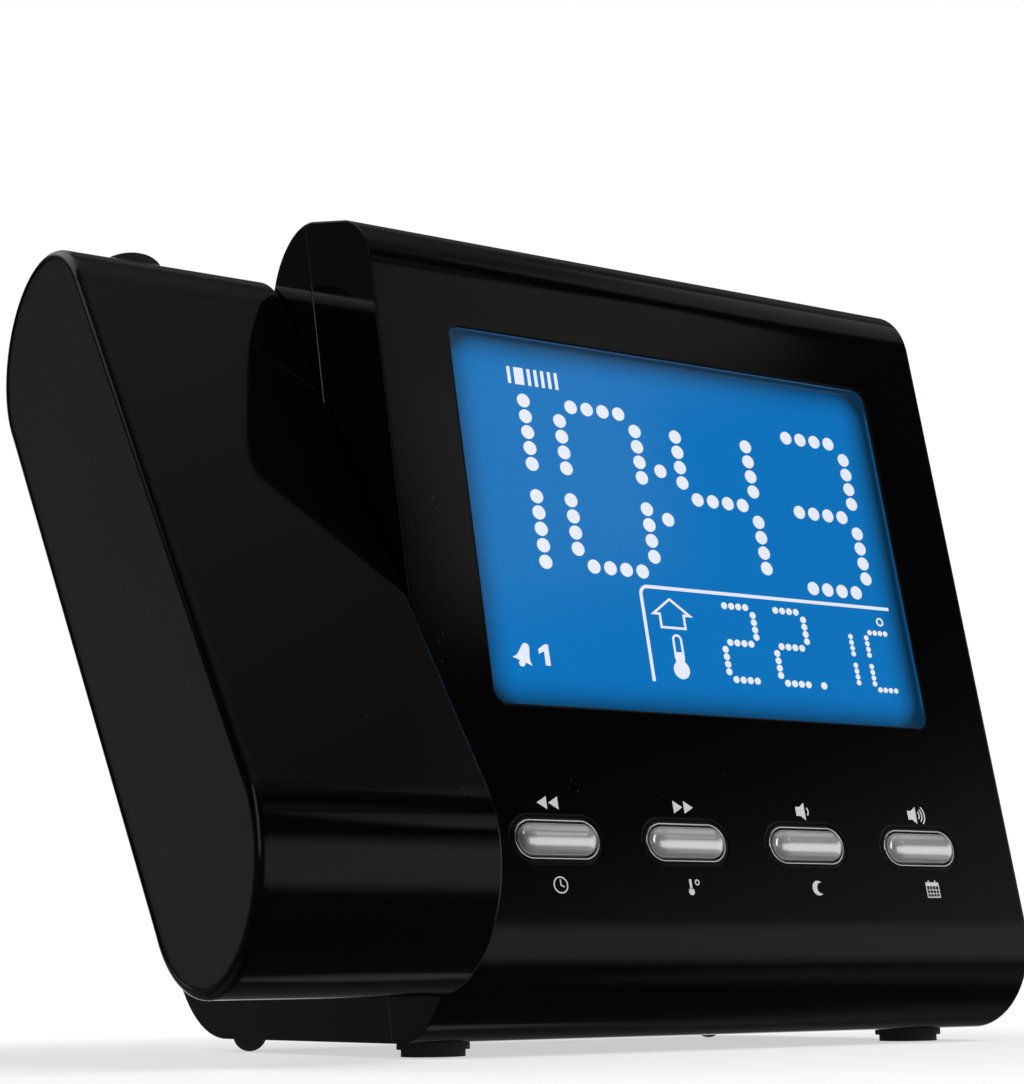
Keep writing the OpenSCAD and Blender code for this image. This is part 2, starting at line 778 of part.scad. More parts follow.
module audio_socket() color([0.08, 0.08, 0.085]) panel_socket(x_mid - jack_x, audio_r);

// Flat contact and coil-spring contact at each end of two cells side by side
module battery_contacts() color([0.8, 0.8, 0.78])
    on_back() for (end = [-1, 1]) for (cell = [-1, 1])
        translate([x_mid + end * (bay_l / 2 - 0.3), bay_s + cell * bay_h / 4, door_t + bay_depth / 2]) {
            cube([0.6, 8, 8], center = true);
            rotate([0, -90 * end, 0]) translate([0, 0, 0.3])
                cylinder(h = (end == cell) ? 3 : 0.8, r1 = 3, r2 = 2);
        }

// Door with a round lower edge that it swings on, a latch tongue and two ribs for the fingernail
module battery_door() color([0.04, 0.04, 0.042]) on_back() {
    half = door_thick / 2;
    translate([x_mid - door_l / 2, bay_s - door_h / 2 + half, 0])
        cube([door_l, door_h - half, door_thick]);
    translate([0, bay_s - door_h / 2 + half, half]) rod_x(x_mid - door_l / 2, x_mid + door_l / 2, half);
    translate([x_mid - 6, bay_s + bay_h / 2 - 1.6, door_thick]) cube([12, 1.2, 2.4]);
    for (i = [0, 1]) translate([x_mid - 8, bay_s + door_h / 2 - 4 - 2.5 * i, -0.5])
        cube([16, 0.9, 0.5 + half]);
}

module temperature_sensor() color([0.1, 0.1, 0.1])
    front_plate(board_depth + board_t, board_depth + board_t + 7, x_end - wall - 16, window_v - 30)
        circle(r = 1.6);

// ---- feet and fasteners ----------------------------------------------------

module at_feet(front) {
    xs = front ? [x_body + foot_inset, x_end - foot_inset]
               : [x_body + heel_foot_left, x_end - heel_foot_right];
    y = front ? front_y + foot_back : heel[0];
    for (x = xs) translate([x, y, floor_gap]) children();
}

module front_feet() color([0.04, 0.04, 0.04]) at_feet(front = true) {
    translate([0, 0, -floor_gap]) cylinder(h = floor_gap / 2, r = foot_r * 0.88);
    translate([0, 0, -floor_gap / 2]) cylinder(h = floor_gap / 2, r = foot_r);
    cylinder(h = 0.9, r = foot_r * 0.5 - 0.05);
}

// Domed rubber buttons
module rear_feet() color([0.04, 0.04, 0.04]) at_feet(front = false) {
    rotate_extrude() intersection() {
        translate([0, -floor_gap]) square([heel_foot_r, floor_gap]);
        translate([0, heel_foot_r - floor_gap]) circle(r = heel_foot_r);
    }
    cylinder(h = 0.9, r = heel_foot_r * 0.6 - 0.05);
}

module case_screws() color([0.75, 0.75, 0.77]) at_screws() {
    translate([0, 0, -seam_depth - well_floor])
        cylinder(h = well_floor + screw_grip - over, r = screw_r - 0.02);
    difference() {
        translate([0, 0, -seam_depth - well_floor - 2]) cylinder(h = 2, r = head_r);
        translate([0, 0, -seam_depth - well_floor - 2]) cube([3.6, 0.8, 2], center = true);
        translate([0, 0, -seam_depth - well_floor - 2]) cube([0.8, 3.6, 2], center = true);
    }
}

// ---- pivot -----------------------------------------------------------------

module pivot_hub() color([0.6, 0.6, 0.62]) at_pivot() difference() {
    union() {
        rod_x(hub_end, x_body + wall, hub_r);
        rod_x(x_body + wall, x_body + wall + hub_flange_t, hub_flange_r);
    }
    rod_x(hub_end - over, x_body + wall + hub_flange_t + over, hub_bore_r);
}

module friction_washer() color([0.7, 0.65, 0.4]) at_pivot() difference() {
    rod_x(hub_end + nut_t, hub_end + nut_t + washer_t - 0.1, bush_r);
    rod_x(hub_end, hub_end + nut_t + washer_t + over, hub_r + 0.02);
}

module pivot_nut() color([0.6, 0.6, 0.62]) at_pivot() difference() {
    translate([hub_end, 0, 0]) rotate([0, 90, 0]) cylinder(h = nut_t, r = bush_r + 0.6, $fn = 6);
    rod_x(hub_end - over, hub_end + nut_t + over, hub_r + 0.02);
}

module arm_bush() color([0.9, 0.9, 0.85]) at_pivot() difference() {
    union() {
        rod_x(x_arm_in - arm_in_wall - bush_flange_t, x_arm_in - arm_in_wall, bush_r + 1.4);
        rod_x(x_arm_in - arm_in_wall, x_arm_in, bush_r - 0.02);
    }
    rod_x(hub_end, x_arm_in + over, hub_r + hub_fit);
}

// ---- arm -------------------------------------------------------------------

module arm_block() {
    on_arm() rounded_block([[0, 0, arm_r], [0, arm_l, arm_r]], x_arm, x_arm_in, arm_edge_r, 0);
}

// A stadium prism along the arm, between two X places
module arm_stadium(x0, x1, r) {
    on_arm() along_x(x0, x1) belt([[0, 0, r], [0, arm_l, r]]);
}

module arm_shell() color([0.02, 0.02, 0.022]) difference() {
    arm_block();
    arm_stadium(x_arm - over, x_arm + cap_sink + cap_t, arm_r - arm_edge_r);
    arm_stadium(x_arm + cap_t, x_arm_in - arm_in_wall, arm_r - arm_wall);
    at_pivot() rod_x(x_arm_in - arm_in_wall - over, x_arm_in + over, bush_r);
    on_lens() translate([0, 0, arm_r / 2]) cylinder(h = arm_r, r = tube_r);
}

module arm_end_cap() color([0.13, 0.13, 0.135]) {
    back = x_arm + cap_sink + cap_t;
    arm_stadium(x_arm + cap_sink, back, arm_r - arm_edge_r - 0.1);
    difference() {
        arm_stadium(back, back + 3, arm_r - arm_wall - 0.2);
        arm_stadium(back - over, back + 3 + over, arm_r - arm_wall - 1.4);
    }
}

// ---- projector ---------------------------------------------------------------

board_w = 26;
board_l = 24;
pillar_x = 9;
slide_t = 1.2;

module arm_screw_places() {
    on_lens() for (side = [-1, 1]) translate([side * pillar_x, 0, 0]) children();
}

module projector_board() color([0.1, 0.35, 0.15]) difference() {
    on_lens() translate([0, 0, -board_t]) linear_extrude(board_t) rounded_rect(board_w, board_l, 1);
    arm_screw_places() translate([0, 0, -board_t - over])
        cylinder(h = board_t + 2 * over, r = board_screw_r + 0.1);
}

module projector_led() color([0.9, 0.2, 0.2]) on_lens() {
    cylinder(h = 0.8, r = led_r + 0.4);
    cylinder(h = 2, r = led_r);
}

// Plano-convex lens that lights the little display evenly
module condenser_lens() color([0.85, 0.9, 0.95, 0.4]) on_lens() translate([0, 0, 2.6]) {
    cylinder(h = 1, r = optic_r);
    intersection() {
        translate([0, 0, 1]) cylinder(h = 2.2, r = optic_r - 0.4);
        translate([0, 0, 2.6 - 7]) sphere(r = 7);
    }
}

module slide_lcd() color([0.1, 0.12, 0.12])
    on_lens() translate([-pocket / 2 + 0.1, -pocket / 2 + 0.6, tube_base])
        cube([pocket - 0.2, pocket - 1.2, slide_t]);

// Lens tube: a box over the board, a tube through the shell and the neck of the focus ring
module lens_tube() color([0.05, 0.05, 0.055]) on_lens() difference() {
    union() {
        cylinder(h = tube_top, r = tube_r - 0.02);
        cylinder(h = neck_top, r = neck_r);
        linear_extrude(tube_base + 2.4) rounded_rect(board_w - 2, 15, 1);
    }
    translate([0, 0, tube_base + slide_t]) cylinder(h = neck_top, r = cell_r + focus_fit);
    translate([-pocket / 2, -pocket / 2, -over]) cube([pocket, pocket, tube_base + over]);
    translate([-pocket / 2, -pocket / 2 + 0.5, -over])
        cube([pocket, pocket - 1, tube_base + slide_t + over]);
    for (side = [-1, 1]) translate([side * pillar_x, 0, -over]) cylinder(h = over + 5, r = board_screw_r);
}

module arm_screws() color([0.75, 0.75, 0.77]) arm_screw_places() {
    translate([0, 0, -board_t]) cylinder(h = board_t + 4.5, r = board_screw_r - 0.02);
    translate([0, 0, -board_t - 1.2]) cylinder(h = 1.2, r = 1.7);
}

module focus_ring() color([0.07, 0.07, 0.075]) on_lens() difference() {
    translate([0, 0, ring_base]) cylinder(h = ring_h, r = ring_r);
    translate([0, 0, ring_base - over]) cylinder(h = ring_h - ring_lip + over, r = neck_r + focus_fit);
    translate([0, 0, ring_base]) cylinder(h = ring_h + over, r = cell_r + 0.3);
    for (i = [0 : grip_count - 1]) rotate([0, 0, i * 360 / grip_count])
        translate([ring_r + 0.15, 0, ring_base - over]) cylinder(h = ring_h + 2 * over, r = 0.45);
}

module lens_cell() color([0.1, 0.1, 0.105]) on_lens() difference() {
    translate([0, 0, cell_top - cell_l]) cylinder(h = cell_l, r = cell_r);
    translate([0, 0, cell_top - cell_l - over]) cylinder(h = cell_l - 2.4 + over, r = 3.2);
    translate([0, 0, cell_top - 2.4]) cylinder(h = 2.4 + over, r = 4);
}

// Biconvex lens set in the cell's mouth
module projection_lens() color([0.8, 0.9, 1, 0.4]) on_lens() intersection() {
    translate([0, 0, cell_top - 2.4]) cylinder(h = 2.4, r = 4);
    translate([0, 0, cell_top - 8.2]) sphere(r = 8.1);
    translate([0, 0, cell_top + 5.8]) sphere(r = 8.1);
}

front_cover();
rear_cover();
display_window();
lcd_panel();
display_holder();
light_guide();
elastomer_strips();
backlight_leds();
main_board();
board_chips();
key_board();
front_switches();
button_sockets();
front_button(0);  // seek_down_button
front_button(1);  // seek_up_button
front_button(2);  // volume_down_button
front_button(3);  // volume_up_button
crown_key(0);  // alarm_one_key
crown_key(1);  // alarm_two_key
crown_key(2);  // snooze_bar
crown_key(3);  // radio_key
crown_key(4);  // mode_key
top_key_board();
top_switches();
speaker_frame();
speaker_cone();
speaker_magnet();
ferrite_rod();
antenna_coil();
antenna_grommet();
power_inlet();
audio_socket();
battery_contacts();
battery_door();
temperature_sensor();
front_feet();
rear_feet();
case_screws();
board_screws();
pivot_hub();
friction_washer();
pivot_nut();
arm_shell();
arm_end_cap();
arm_bush();
projector_board();
projector_led();
condenser_lens();
slide_lcd();
lens_tube();
arm_screws();
focus_ring();
lens_cell();
projection_lens();
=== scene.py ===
"""Finishes, display picture, keys and studio of a projection alarm clock.

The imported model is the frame. Its nodes keep their places, and every piece that is made here
rides on one of its bodies. Lengths are in metres unless a name or a description says otherwise.
"""
import json
import math

import bmesh
import bpy
import numpy as np
from mathutils import Matrix, Vector


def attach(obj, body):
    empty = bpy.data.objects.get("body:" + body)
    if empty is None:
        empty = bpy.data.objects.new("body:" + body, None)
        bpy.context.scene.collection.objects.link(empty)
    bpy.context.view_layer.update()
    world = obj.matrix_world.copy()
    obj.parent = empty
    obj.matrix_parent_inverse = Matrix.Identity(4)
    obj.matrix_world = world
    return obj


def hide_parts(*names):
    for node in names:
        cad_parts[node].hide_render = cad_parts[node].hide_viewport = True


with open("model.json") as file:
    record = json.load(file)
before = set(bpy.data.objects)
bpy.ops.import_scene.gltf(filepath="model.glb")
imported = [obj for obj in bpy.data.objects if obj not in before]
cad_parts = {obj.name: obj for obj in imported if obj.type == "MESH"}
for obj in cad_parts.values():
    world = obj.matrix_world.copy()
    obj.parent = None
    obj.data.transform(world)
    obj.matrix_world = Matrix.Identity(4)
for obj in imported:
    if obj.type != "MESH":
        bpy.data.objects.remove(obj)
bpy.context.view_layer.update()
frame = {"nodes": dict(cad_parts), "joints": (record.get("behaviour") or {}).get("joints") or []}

bl_info = {
    "name": "Projection Alarm Clock",
    "version": (1, 0, 0),
    "blender": (4, 5, 0),
    "location": "3D View > Sidebar > Clock",
    "description": "Finishes, display picture, keys and studio of a projection alarm clock",
    "category": "Object",
}

MM = 0.001

# ---------------------------------------------------------------------------------------------
# The leaning front face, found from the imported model

JOINTS = {joint["name"]: joint for joint in frame["joints"]}
FACE_IN = np.array(JOINTS["seek_down_press"]["axis"], float)
FACE_UP = np.array((0.0, -FACE_IN[2], FACE_IN[1]))
ACROSS = np.array((1.0, 0.0, 0.0))
FACE_LEAN = math.atan2(-FACE_IN[2], FACE_IN[1])


def corners(name):
    """All corners of a node, as rows of x, y, z."""
    mesh = frame["nodes"][name].data
    values = np.empty(len(mesh.vertices) * 3)
    mesh.vertices.foreach_get("co", values)
    return values.reshape(-1, 3)


FACE_OFFSET = (corners("front_cover") @ FACE_IN).min()
FACE_FOOT = np.array((0.0, FACE_OFFSET / FACE_IN[1], 0.0))


def face_range(name):
    """Lowest and highest place of a node on the face, as rows of across, up and depth."""
    places = (corners(name) - FACE_FOOT) @ np.column_stack((ACROSS, FACE_UP, FACE_IN))
    return places.min(axis=0), places.max(axis=0)


def on_face(across, up, depth):
    """Points at the places across and up the face, each pushed straight into it by its depth."""
    across, up, depth = (part[..., None] for part in np.broadcast_arrays(across, up, depth))
    return FACE_FOOT + across * ACROSS + up * FACE_UP + depth * FACE_IN


WINDOW_LOW, WINDOW_HIGH = face_range("display_window")
LCD_FRONT = face_range("lcd_panel")[0][2]
WINDOW_MID = (WINDOW_LOW + WINDOW_HIGH) / 2
# Lip of the window behind the case, and the width of the painted frame shade along the window's rim
RIM_LIP = 1.8 * MM
FRAME_SHADE_BAND = 7.0 * MM
BUTTONS = ("seek_down", "seek_up", "volume_down", "volume_up")


# ---------------------------------------------------------------------------------------------
# Settings that a user would change

class ClockFinish(bpy.types.PropertyGroup):
    """Colours and surface of the case"""
    case_color: bpy.props.FloatVectorProperty(
        name="Case", description="Colour of the glossy case", subtype="COLOR",
        size=3, min=0, max=1, default=(0.0007, 0.0007, 0.0008))
    cap_color: bpy.props.FloatVectorProperty(
        name="Arm cap", description="Colour of the matt cap on the arm's outer end", subtype="COLOR",
        size=3, min=0, max=1, default=(0.0056, 0.0052, 0.0054))
    case_roughness: bpy.props.FloatProperty(
        name="Case roughness", description="Roughness of the polished case", subtype="FACTOR",
        min=0, max=1, default=0.07)
    dust: bpy.props.FloatProperty(
        name="Dust", description="Share of the case that fine dust covers", subtype="FACTOR",
        min=0, max=1, default=0.02)


class ClockDisplay(bpy.types.PropertyGroup):
    """What the display shows"""
    hours: bpy.props.IntProperty(
        name="Hours", description="Hour shown", min=1, max=12, default=10)
    minutes: bpy.props.IntProperty(
        name="Minutes", description="Minute shown", min=0, max=59, default=43)
    tenths: bpy.props.IntProperty(
        name="Temperature", description="Indoor temperature in tenths of a degree",
        min=0, max=999, default=221)
    weekday: bpy.props.IntProperty(
        name="Weekday", description="Which of the seven day bars is broad, from 0",
        min=0, max=6, default=1)
    glow: bpy.props.FloatVectorProperty(
        name="Backlight", description="Colour of the backlight", subtype="COLOR",
        size=3, min=0, max=1, default=(0.0033, 0.168, 0.5))
    # The rim colour is painted shade, where the frame round the window shades the display
    glow_shaded_rim: bpy.props.FloatVectorProperty(
        name="Backlight edge", description="Colour of the backlight at its dim rim", subtype="COLOR",
        size=3, min=0, max=1, default=(0.003, 0.028, 0.068))
    mark: bpy.props.FloatVectorProperty(
        name="Marks", description="Colour of the lit marks", subtype="COLOR",
        size=3, min=0, max=1, default=(0.74, 0.78, 0.92))
    dot: bpy.props.FloatProperty(
        name="Dot", description="Radius of a dot of the large digits", unit="LENGTH",
        subtype="DISTANCE", min=0.0005, max=0.0016, default=0.00136)


class ClockStudio(bpy.types.PropertyGroup):
    """Camera and light"""
    yaw: bpy.props.FloatProperty(
        name="Yaw", description="Turn of the view to the right of straight on", subtype="ANGLE",
        default=math.radians(32.51))
    pitch: bpy.props.FloatProperty(
        name="Pitch", description="How far the view looks up", subtype="ANGLE",
        default=math.radians(10.83))
    roll: bpy.props.FloatProperty(
        name="Roll", description="Turn of the camera about its view", subtype="ANGLE",
        default=math.radians(0.82))
    place: bpy.props.FloatVectorProperty(
        name="Camera", description="Place of the camera", subtype="TRANSLATION", unit="LENGTH",
        size=3, default=(-0.2346, -0.3672, 0.0121))
    lens: bpy.props.FloatProperty(
        name="Lens", description="Focal length for a sensor 36 mm wide", unit="CAMERA", default=80.95)
    key_power: bpy.props.FloatProperty(
        name="Key light", description="Power of the large soft light", unit="POWER",
        min=0, default=14)
    rim_power: bpy.props.FloatProperty(
        name="Rim light", description="Power of the light behind the clock", unit="POWER",
        min=0, default=5)


# ---------------------------------------------------------------------------------------------
# Surfaces

PILL_SIDES = 64
# Points closer than this are one point, and numbers smaller than this are only rounding
MERGE_DISTANCE = 1e-7
ROUNDING = 1e-9


def circle(middle, radius, count=24, start=0.0, stop=2 * math.pi, closed=True):
    """Points round a circle: middle plus radius times the cosine and sine of evenly spaced angles."""
    angle = np.linspace(start, stop, count, endpoint=not closed)
    return np.asarray(middle) + radius * np.column_stack((np.cos(angle), np.sin(angle)))


def ring_faces(rings, sides, closed):
    """Quads between each ring of points and the next, and flat caps where the run is open."""
    ring = np.arange(rings if closed else rings - 1)[:, None]
    side = np.arange(sides)[None, :]
    after = (ring + 1) % rings
    beside = (side + 1) % sides
    quads = np.stack((ring * sides + side, after * sides + side, after * sides + beside,
                      ring * sides + beside), axis=-1).reshape(-1, 4).tolist()
    if closed:
        return quads
    return quads + [list(range(sides))[::-1], list(range((rings - 1) * sides, rings * sides))]


def plate(outline, front, back):
    """A flat outline carried straight into the face from the depth front to the depth back."""
    outline = np.asarray(outline, float)
    depth = np.array((front, back))[:, None]
    points = on_face(outline[None, :, 0], outline[None, :, 1], depth)
    return points.reshape(-1, 3), ring_faces(2, len(outline), False)


def stroke(path, width, front, back, closed=False):
    """A rectangular profile carried along a path on the face, mitred where the path bends.

    At each point the profile stands half a width to either side, along the mean of the two
    neighbouring normals, lengthened by one over the cosine of half the bend.
    """
    path = np.asarray(path, float)
    run = np.roll(path, -1, axis=0) - path
    if not closed:
        run[-1] = run[-2]
    run /= np.linalg.norm(run, axis=1, keepdims=True)
    normal = np.column_stack((-run[:, 1], run[:, 0]))
    before = np.roll(normal, 1, axis=0)
    if not closed:
        before[0] = normal[0]
    mean = normal + before
    mean /= np.linalg.norm(mean, axis=1, keepdims=True)
    mean *= (width / 2) / np.sum(mean * normal, axis=1, keepdims=True)
    left, right = path + mean, path - mean
    outline = np.stack((left, right, right, left), axis=1)
    depth = np.array((front, front, back, back))[None, :]
    points = on_face(outline[..., 0], outline[..., 1], depth)
    return points.reshape(-1, 3), ring_faces(len(path), 4, closed)


def pill(middle, reach, radius):
    """Outline of a pill: a circle whose right half is moved right by reach, and the rest left."""
    outline = circle((0.0, 0.0), 1.0, PILL_SIDES, -math.pi / 2, 1.5 * math.pi)
    shift = np.where(outline[:, :1] > ROUNDING, (reach, 0.0), (-reach, 0.0))
    return middle + radius * outline + shift


def join(parts):
    """Several surfaces as one: all points in a row, and each surface's faces moved on to its own."""
    points, faces, start = [], [], 0
    for part_points, part_faces in parts:
        points.append(part_points)
        faces.extend([[start + corner for corner in face] for face in part_faces])
        start += len(part_points)
    return np.concatenate(points), faces


def piece(name, surface, body, material, smooth=None):
    """Makes a mesh object of a surface, faces outwards, and lets it ride on a body."""
    points, faces = surface
    mesh = bpy.data.meshes.new(name)
    mesh.from_pydata(points.tolist(), [], faces)
    work = bmesh.new()
    work.from_mesh(mesh)
    bmesh.ops.remove_doubles(work, verts=work.verts, dist=MERGE_DISTANCE)
    bmesh.ops.recalc_face_normals(work, faces=work.faces)
    work.to_mesh(mesh)
    work.free()
    if smooth is not None:
        mesh.shade_smooth()
        mesh.set_sharp_from_angle(angle=smooth)
    mesh.materials.append(material)
    made = bpy.data.objects.new(name, mesh)
    bpy.context.scene.collection.objects.link(made)
    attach(made, body)
    return made


# ---------------------------------------------------------------------------------------------
# Shader helpers and shared effects

FLOAT, COLOR, VECTOR = "NodeSocketFloat", "NodeSocketColor", "NodeSocketVector"


def add_node(tree, kind, inputs=None, **settings):
    """Adds a node, sets its settings, and links or sets its inputs."""
    made = tree.nodes.new(kind)
    for key, value in settings.items():
        setattr(made, key, value)
    for key, value in (inputs or {}).items():
        if isinstance(value, bpy.types.NodeSocket):
            tree.links.new(value, made.inputs[key])
        else:
            made.inputs[key].default_value = value
    return made


def math_node(tree, operation, *values, clamp=False):
    """The output of a math node of these values."""
    inputs = dict(enumerate(values))
    return add_node(tree, "ShaderNodeMath", inputs, operation=operation, use_clamp=clamp).outputs[0]


def mix_color(tree, factor, first, second, blend="MIX"):
    """The colour output of a colour mix."""
    made = add_node(tree, "ShaderNodeMix", {0: factor, 6: first, 7: second},
                    data_type="RGBA", blend_type=blend)
    return made.outputs[2]


def noise(tree, place, scale, detail, distortion=0.0):
    """The value of a noise of this scale, from 0 to 1."""
    inputs = {"Vector": place, "Scale": scale, "Detail": detail, "Distortion": distortion}
    return add_node(tree, "ShaderNodeTexNoise", inputs).outputs["Fac"]


def cell_distance(tree, place, scale, randomness=1.0, distance="EUCLIDEAN"):
    """How far a place is from the middle of its cell, with cells of this scale."""
    inputs = {"Vector": place, "Scale": scale, "Randomness": randomness}
    cells = add_node(tree, "ShaderNodeTexVoronoi", inputs, feature="F1", distance=distance)
    return cells.outputs["Distance"]


def stretched(tree, place, scale, turn=(0.0, 0.0, 0.0)):
    """The place, turned and scaled on each axis."""
    inputs = {"Vector": place, "Scale": scale, "Rotation": turn}
    return add_node(tree, "ShaderNodeMapping", inputs).outputs[0]


def swing(tree, value, amount):
    """A value from 0 to 1 made to swing about zero, times the amount."""
    return math_node(tree, "MULTIPLY", math_node(tree, "SUBTRACT", value, 0.5), amount)


def new_group(name, inputs, outputs):
    """An empty shader group with named inputs (name: kind or default) and outputs."""
    tree = bpy.data.node_groups.new(name, "ShaderNodeTree")
    for label, default in inputs.items():
        kind = FLOAT if isinstance(default, float) else default
        socket = tree.interface.new_socket(label, in_out="INPUT", socket_type=kind)
        if isinstance(default, float):
            socket.default_value = default
    for label, kind in outputs.items():
        tree.interface.new_socket(label, in_out="OUTPUT", socket_type=kind)
    return tree, tree.nodes.new("NodeGroupInput").outputs, tree.nodes.new("NodeGroupOutput").inputs


def tone_group():
    """Slow change of tone: the colour times one plus or minus the amount, by a soft noise."""
    tree, given, out = new_group(
        "Tone Change", {"Vector": VECTOR, "Color": COLOR, "Scale": 60.0, "Amount": 0.1}, {"Color": COLOR})
    change = swing(tree, noise(tree, given["Vector"], given["Scale"], 4.0), given["Amount"])
    gain = math_node(tree, "MULTIPLY_ADD", change, 2.0, 1.0)
    scaled = add_node(tree, "ShaderNodeVectorMath", {0: given["Color"], "Scale": gain},
                      operation="SCALE")
    tree.links.new(scaled.outputs[0], out["Color"])
    return tree


SMEAR_SCALE, SMEAR_WARP = 38.0, 0.6
# Stretch of the hairlines' noise on each axis, and the turns of the two sets of hairlines
HAIRLINE_SCALE = (30.0, 2600.0, 30.0)
HAIRLINE_TURNS = ((0.5, 0.4, 0.5), (2.1, 0.4, 2.1))
# Level of the noise above which a hairline shows, and how steeply it deepens from there
HAIRLINE_FROM, HAIRLINE_GAIN = 0.68, 3.0


def polish_group():
    """Uneven polish: the roughness plus wide smears and fine hairlines that cross one another."""
    tree, given, out = new_group(
        "Uneven Polish", {"Vector": VECTOR, "Roughness": 0.2, "Smear": 0.05, "Hairline": 0.05},
        {"Roughness": FLOAT})
    smear = swing(tree, noise(tree, given["Vector"], SMEAR_SCALE, 3.0, SMEAR_WARP), given["Smear"])
    value = math_node(tree, "ADD", smear, given["Roughness"])
    for turn in HAIRLINE_TURNS:
        line = noise(tree, stretched(tree, given["Vector"], HAIRLINE_SCALE, turn), 1.0, 2.0)
        above = math_node(tree, "SUBTRACT", line, HAIRLINE_FROM, clamp=True)
        mask = math_node(tree, "MULTIPLY", above, HAIRLINE_GAIN)
        value = math_node(tree, "MULTIPLY_ADD", mask, given["Hairline"], value)
    tree.links.new(value, out["Roughness"])
    return tree


def grain_group():
    """Moulded grain: two octaves of bumps, the fine one four times as fine as the coarse one."""
    tree, given, out = new_group(
        "Moulded Grain", {"Vector": VECTOR, "Scale": 1500.0, "Balance": 0.5}, {"Height": FLOAT})
    coarse = noise(tree, given["Vector"], given["Scale"], 2.0)
    fine = noise(tree, given["Vector"], math_node(tree, "MULTIPLY", given["Scale"], 4.0), 1.0)
    tree.links.new(math_node(tree, "MULTIPLY_ADD", fine, given["Balance"], coarse), out["Height"])
    return tree


# Cells per metre of which each holds a speck, and a speck's radius as a share of its cell
SPECK_SCALE, SPECK_RADIUS = 1300.0, 0.16
# Level of the patches' noise under which dust lies: at no cover, and its growth to full cover
PATCH_SCALE, PATCH_LEVEL, PATCH_GROWTH = 90.0, 0.3, 0.5
DUST_TONE, DUST_ROUGHNESS = 0.03, 0.8


def dust_group():
    """Settled dust: small round specks, only where a wide noise is low enough for the cover."""
    tree, given, out = new_group("Settled Dust", {"Vector": VECTOR, "Cover": 0.1}, {"Mask": FLOAT})
    middle = cell_distance(tree, given["Vector"], SPECK_SCALE)
    speck = math_node(tree, "LESS_THAN", middle, SPECK_RADIUS)
    limit = math_node(tree, "MULTIPLY_ADD", given["Cover"], PATCH_GROWTH, PATCH_LEVEL)
    patch = math_node(tree, "LESS_THAN", noise(tree, given["Vector"], PATCH_SCALE, 5.0), limit)
    tree.links.new(math_node(tree, "MULTIPLY", speck, patch), out["Mask"])
    return tree


GROUPS = {}


def effect(tree, name, inputs):
    """Places a shared effect in a material, building it the first time it is asked for."""
    makers = {"Tone": tone_group, "Polish": polish_group, "Grain": grain_group, "Dust": dust_group}
    if name not in GROUPS:
        GROUPS[name] = makers[name]()
    return add_node(tree, "ShaderNodeGroup", inputs, node_tree=GROUPS[name]).outputs[0]


def toned(tree, place, color, scale, amount):
    """The colour with a slow change of tone."""
    return effect(tree, "Tone", {"Vector": place, "Color": color, "Scale": scale, "Amount": amount})


def polished(tree, place, roughness, smear, hairline):
    """The roughness with smears and hairlines."""
    return effect(tree, "Polish", {"Vector": place, "Roughness": roughness, "Smear": smear,
                                   "Hairline": hairline})


def start_material(name):
    """A new material with its shader and the object's own coordinates."""
    made = bpy.data.materials.new(name)
    made.use_nodes = True
    tree = made.node_tree
    shader = next(item for item in tree.nodes if item.type == "BSDF_PRINCIPLED")
    place = tree.nodes.new("ShaderNodeTexCoord").outputs["Object"]
    return made, tree, shader, place


def rgba(color):
    """A colour with full opacity."""
    return (*tuple(color)[:3], 1.0)


def grey(level):
    """A grey of this level with full opacity."""
    return (level, level, level, 1.0)


TONE_SCALE = 60.0
BUMP_STRENGTH = 0.5
GRAIN_BALANCE = 0.5
BEVEL_SAMPLES = 6


def surface_material(name, color, roughness, metallic=0.0, specular=0.5, tone=0.08, smear=0.05,
                     hairline=0.03, grain=0.0, grain_scale=1500.0, dust=0.0, pattern=None, edge=0.0):
    """A solid surface: toned colour, uneven polish, moulded grain, settled dust and softened edges.

    grain is the depth of the bumps. pattern(tree, place, color) may return a colour and a height of
    its own, which are used instead. edge is the radius to which sharp edges look rounded.
    """
    made, tree, shader, place = start_material(name)
    base, height = rgba(color), None
    if pattern:
        base, height = pattern(tree, place, base)
    base = toned(tree, place, base, TONE_SCALE, tone)
    rough = polished(tree, place, roughness, smear, hairline)
    if dust:
        mask = effect(tree, "Dust", {"Vector": place, "Cover": dust})
        base = mix_color(tree, mask, base, grey(DUST_TONE))
        rough = math_node(tree, "MAXIMUM", rough, math_node(tree, "MULTIPLY", mask, DUST_ROUGHNESS))
    tree.links.new(base, shader.inputs["Base Color"])
    tree.links.new(rough, shader.inputs["Roughness"])
    if height is None and grain:
        height = effect(tree, "Grain", {"Vector": place, "Scale": grain_scale,
                                        "Balance": GRAIN_BALANCE})
    if height is not None:
        bump = add_node(tree, "ShaderNodeBump", {"Height": height, "Strength": BUMP_STRENGTH,
                                                 "Distance": grain})
        if edge:
            soft = add_node(tree, "ShaderNodeBevel", {"Radius": edge}, samples=BEVEL_SAMPLES)
            tree.links.new(soft.outputs[0], bump.inputs["Normal"])
        tree.links.new(bump.outputs[0], shader.inputs["Normal"])
    shader.inputs["Metallic"].default_value = metallic
    shader.inputs["Specular IOR Level"].default_value = specular
    return made


# How much the wiping marks of clear parts change their roughness
WIPING = 0.02


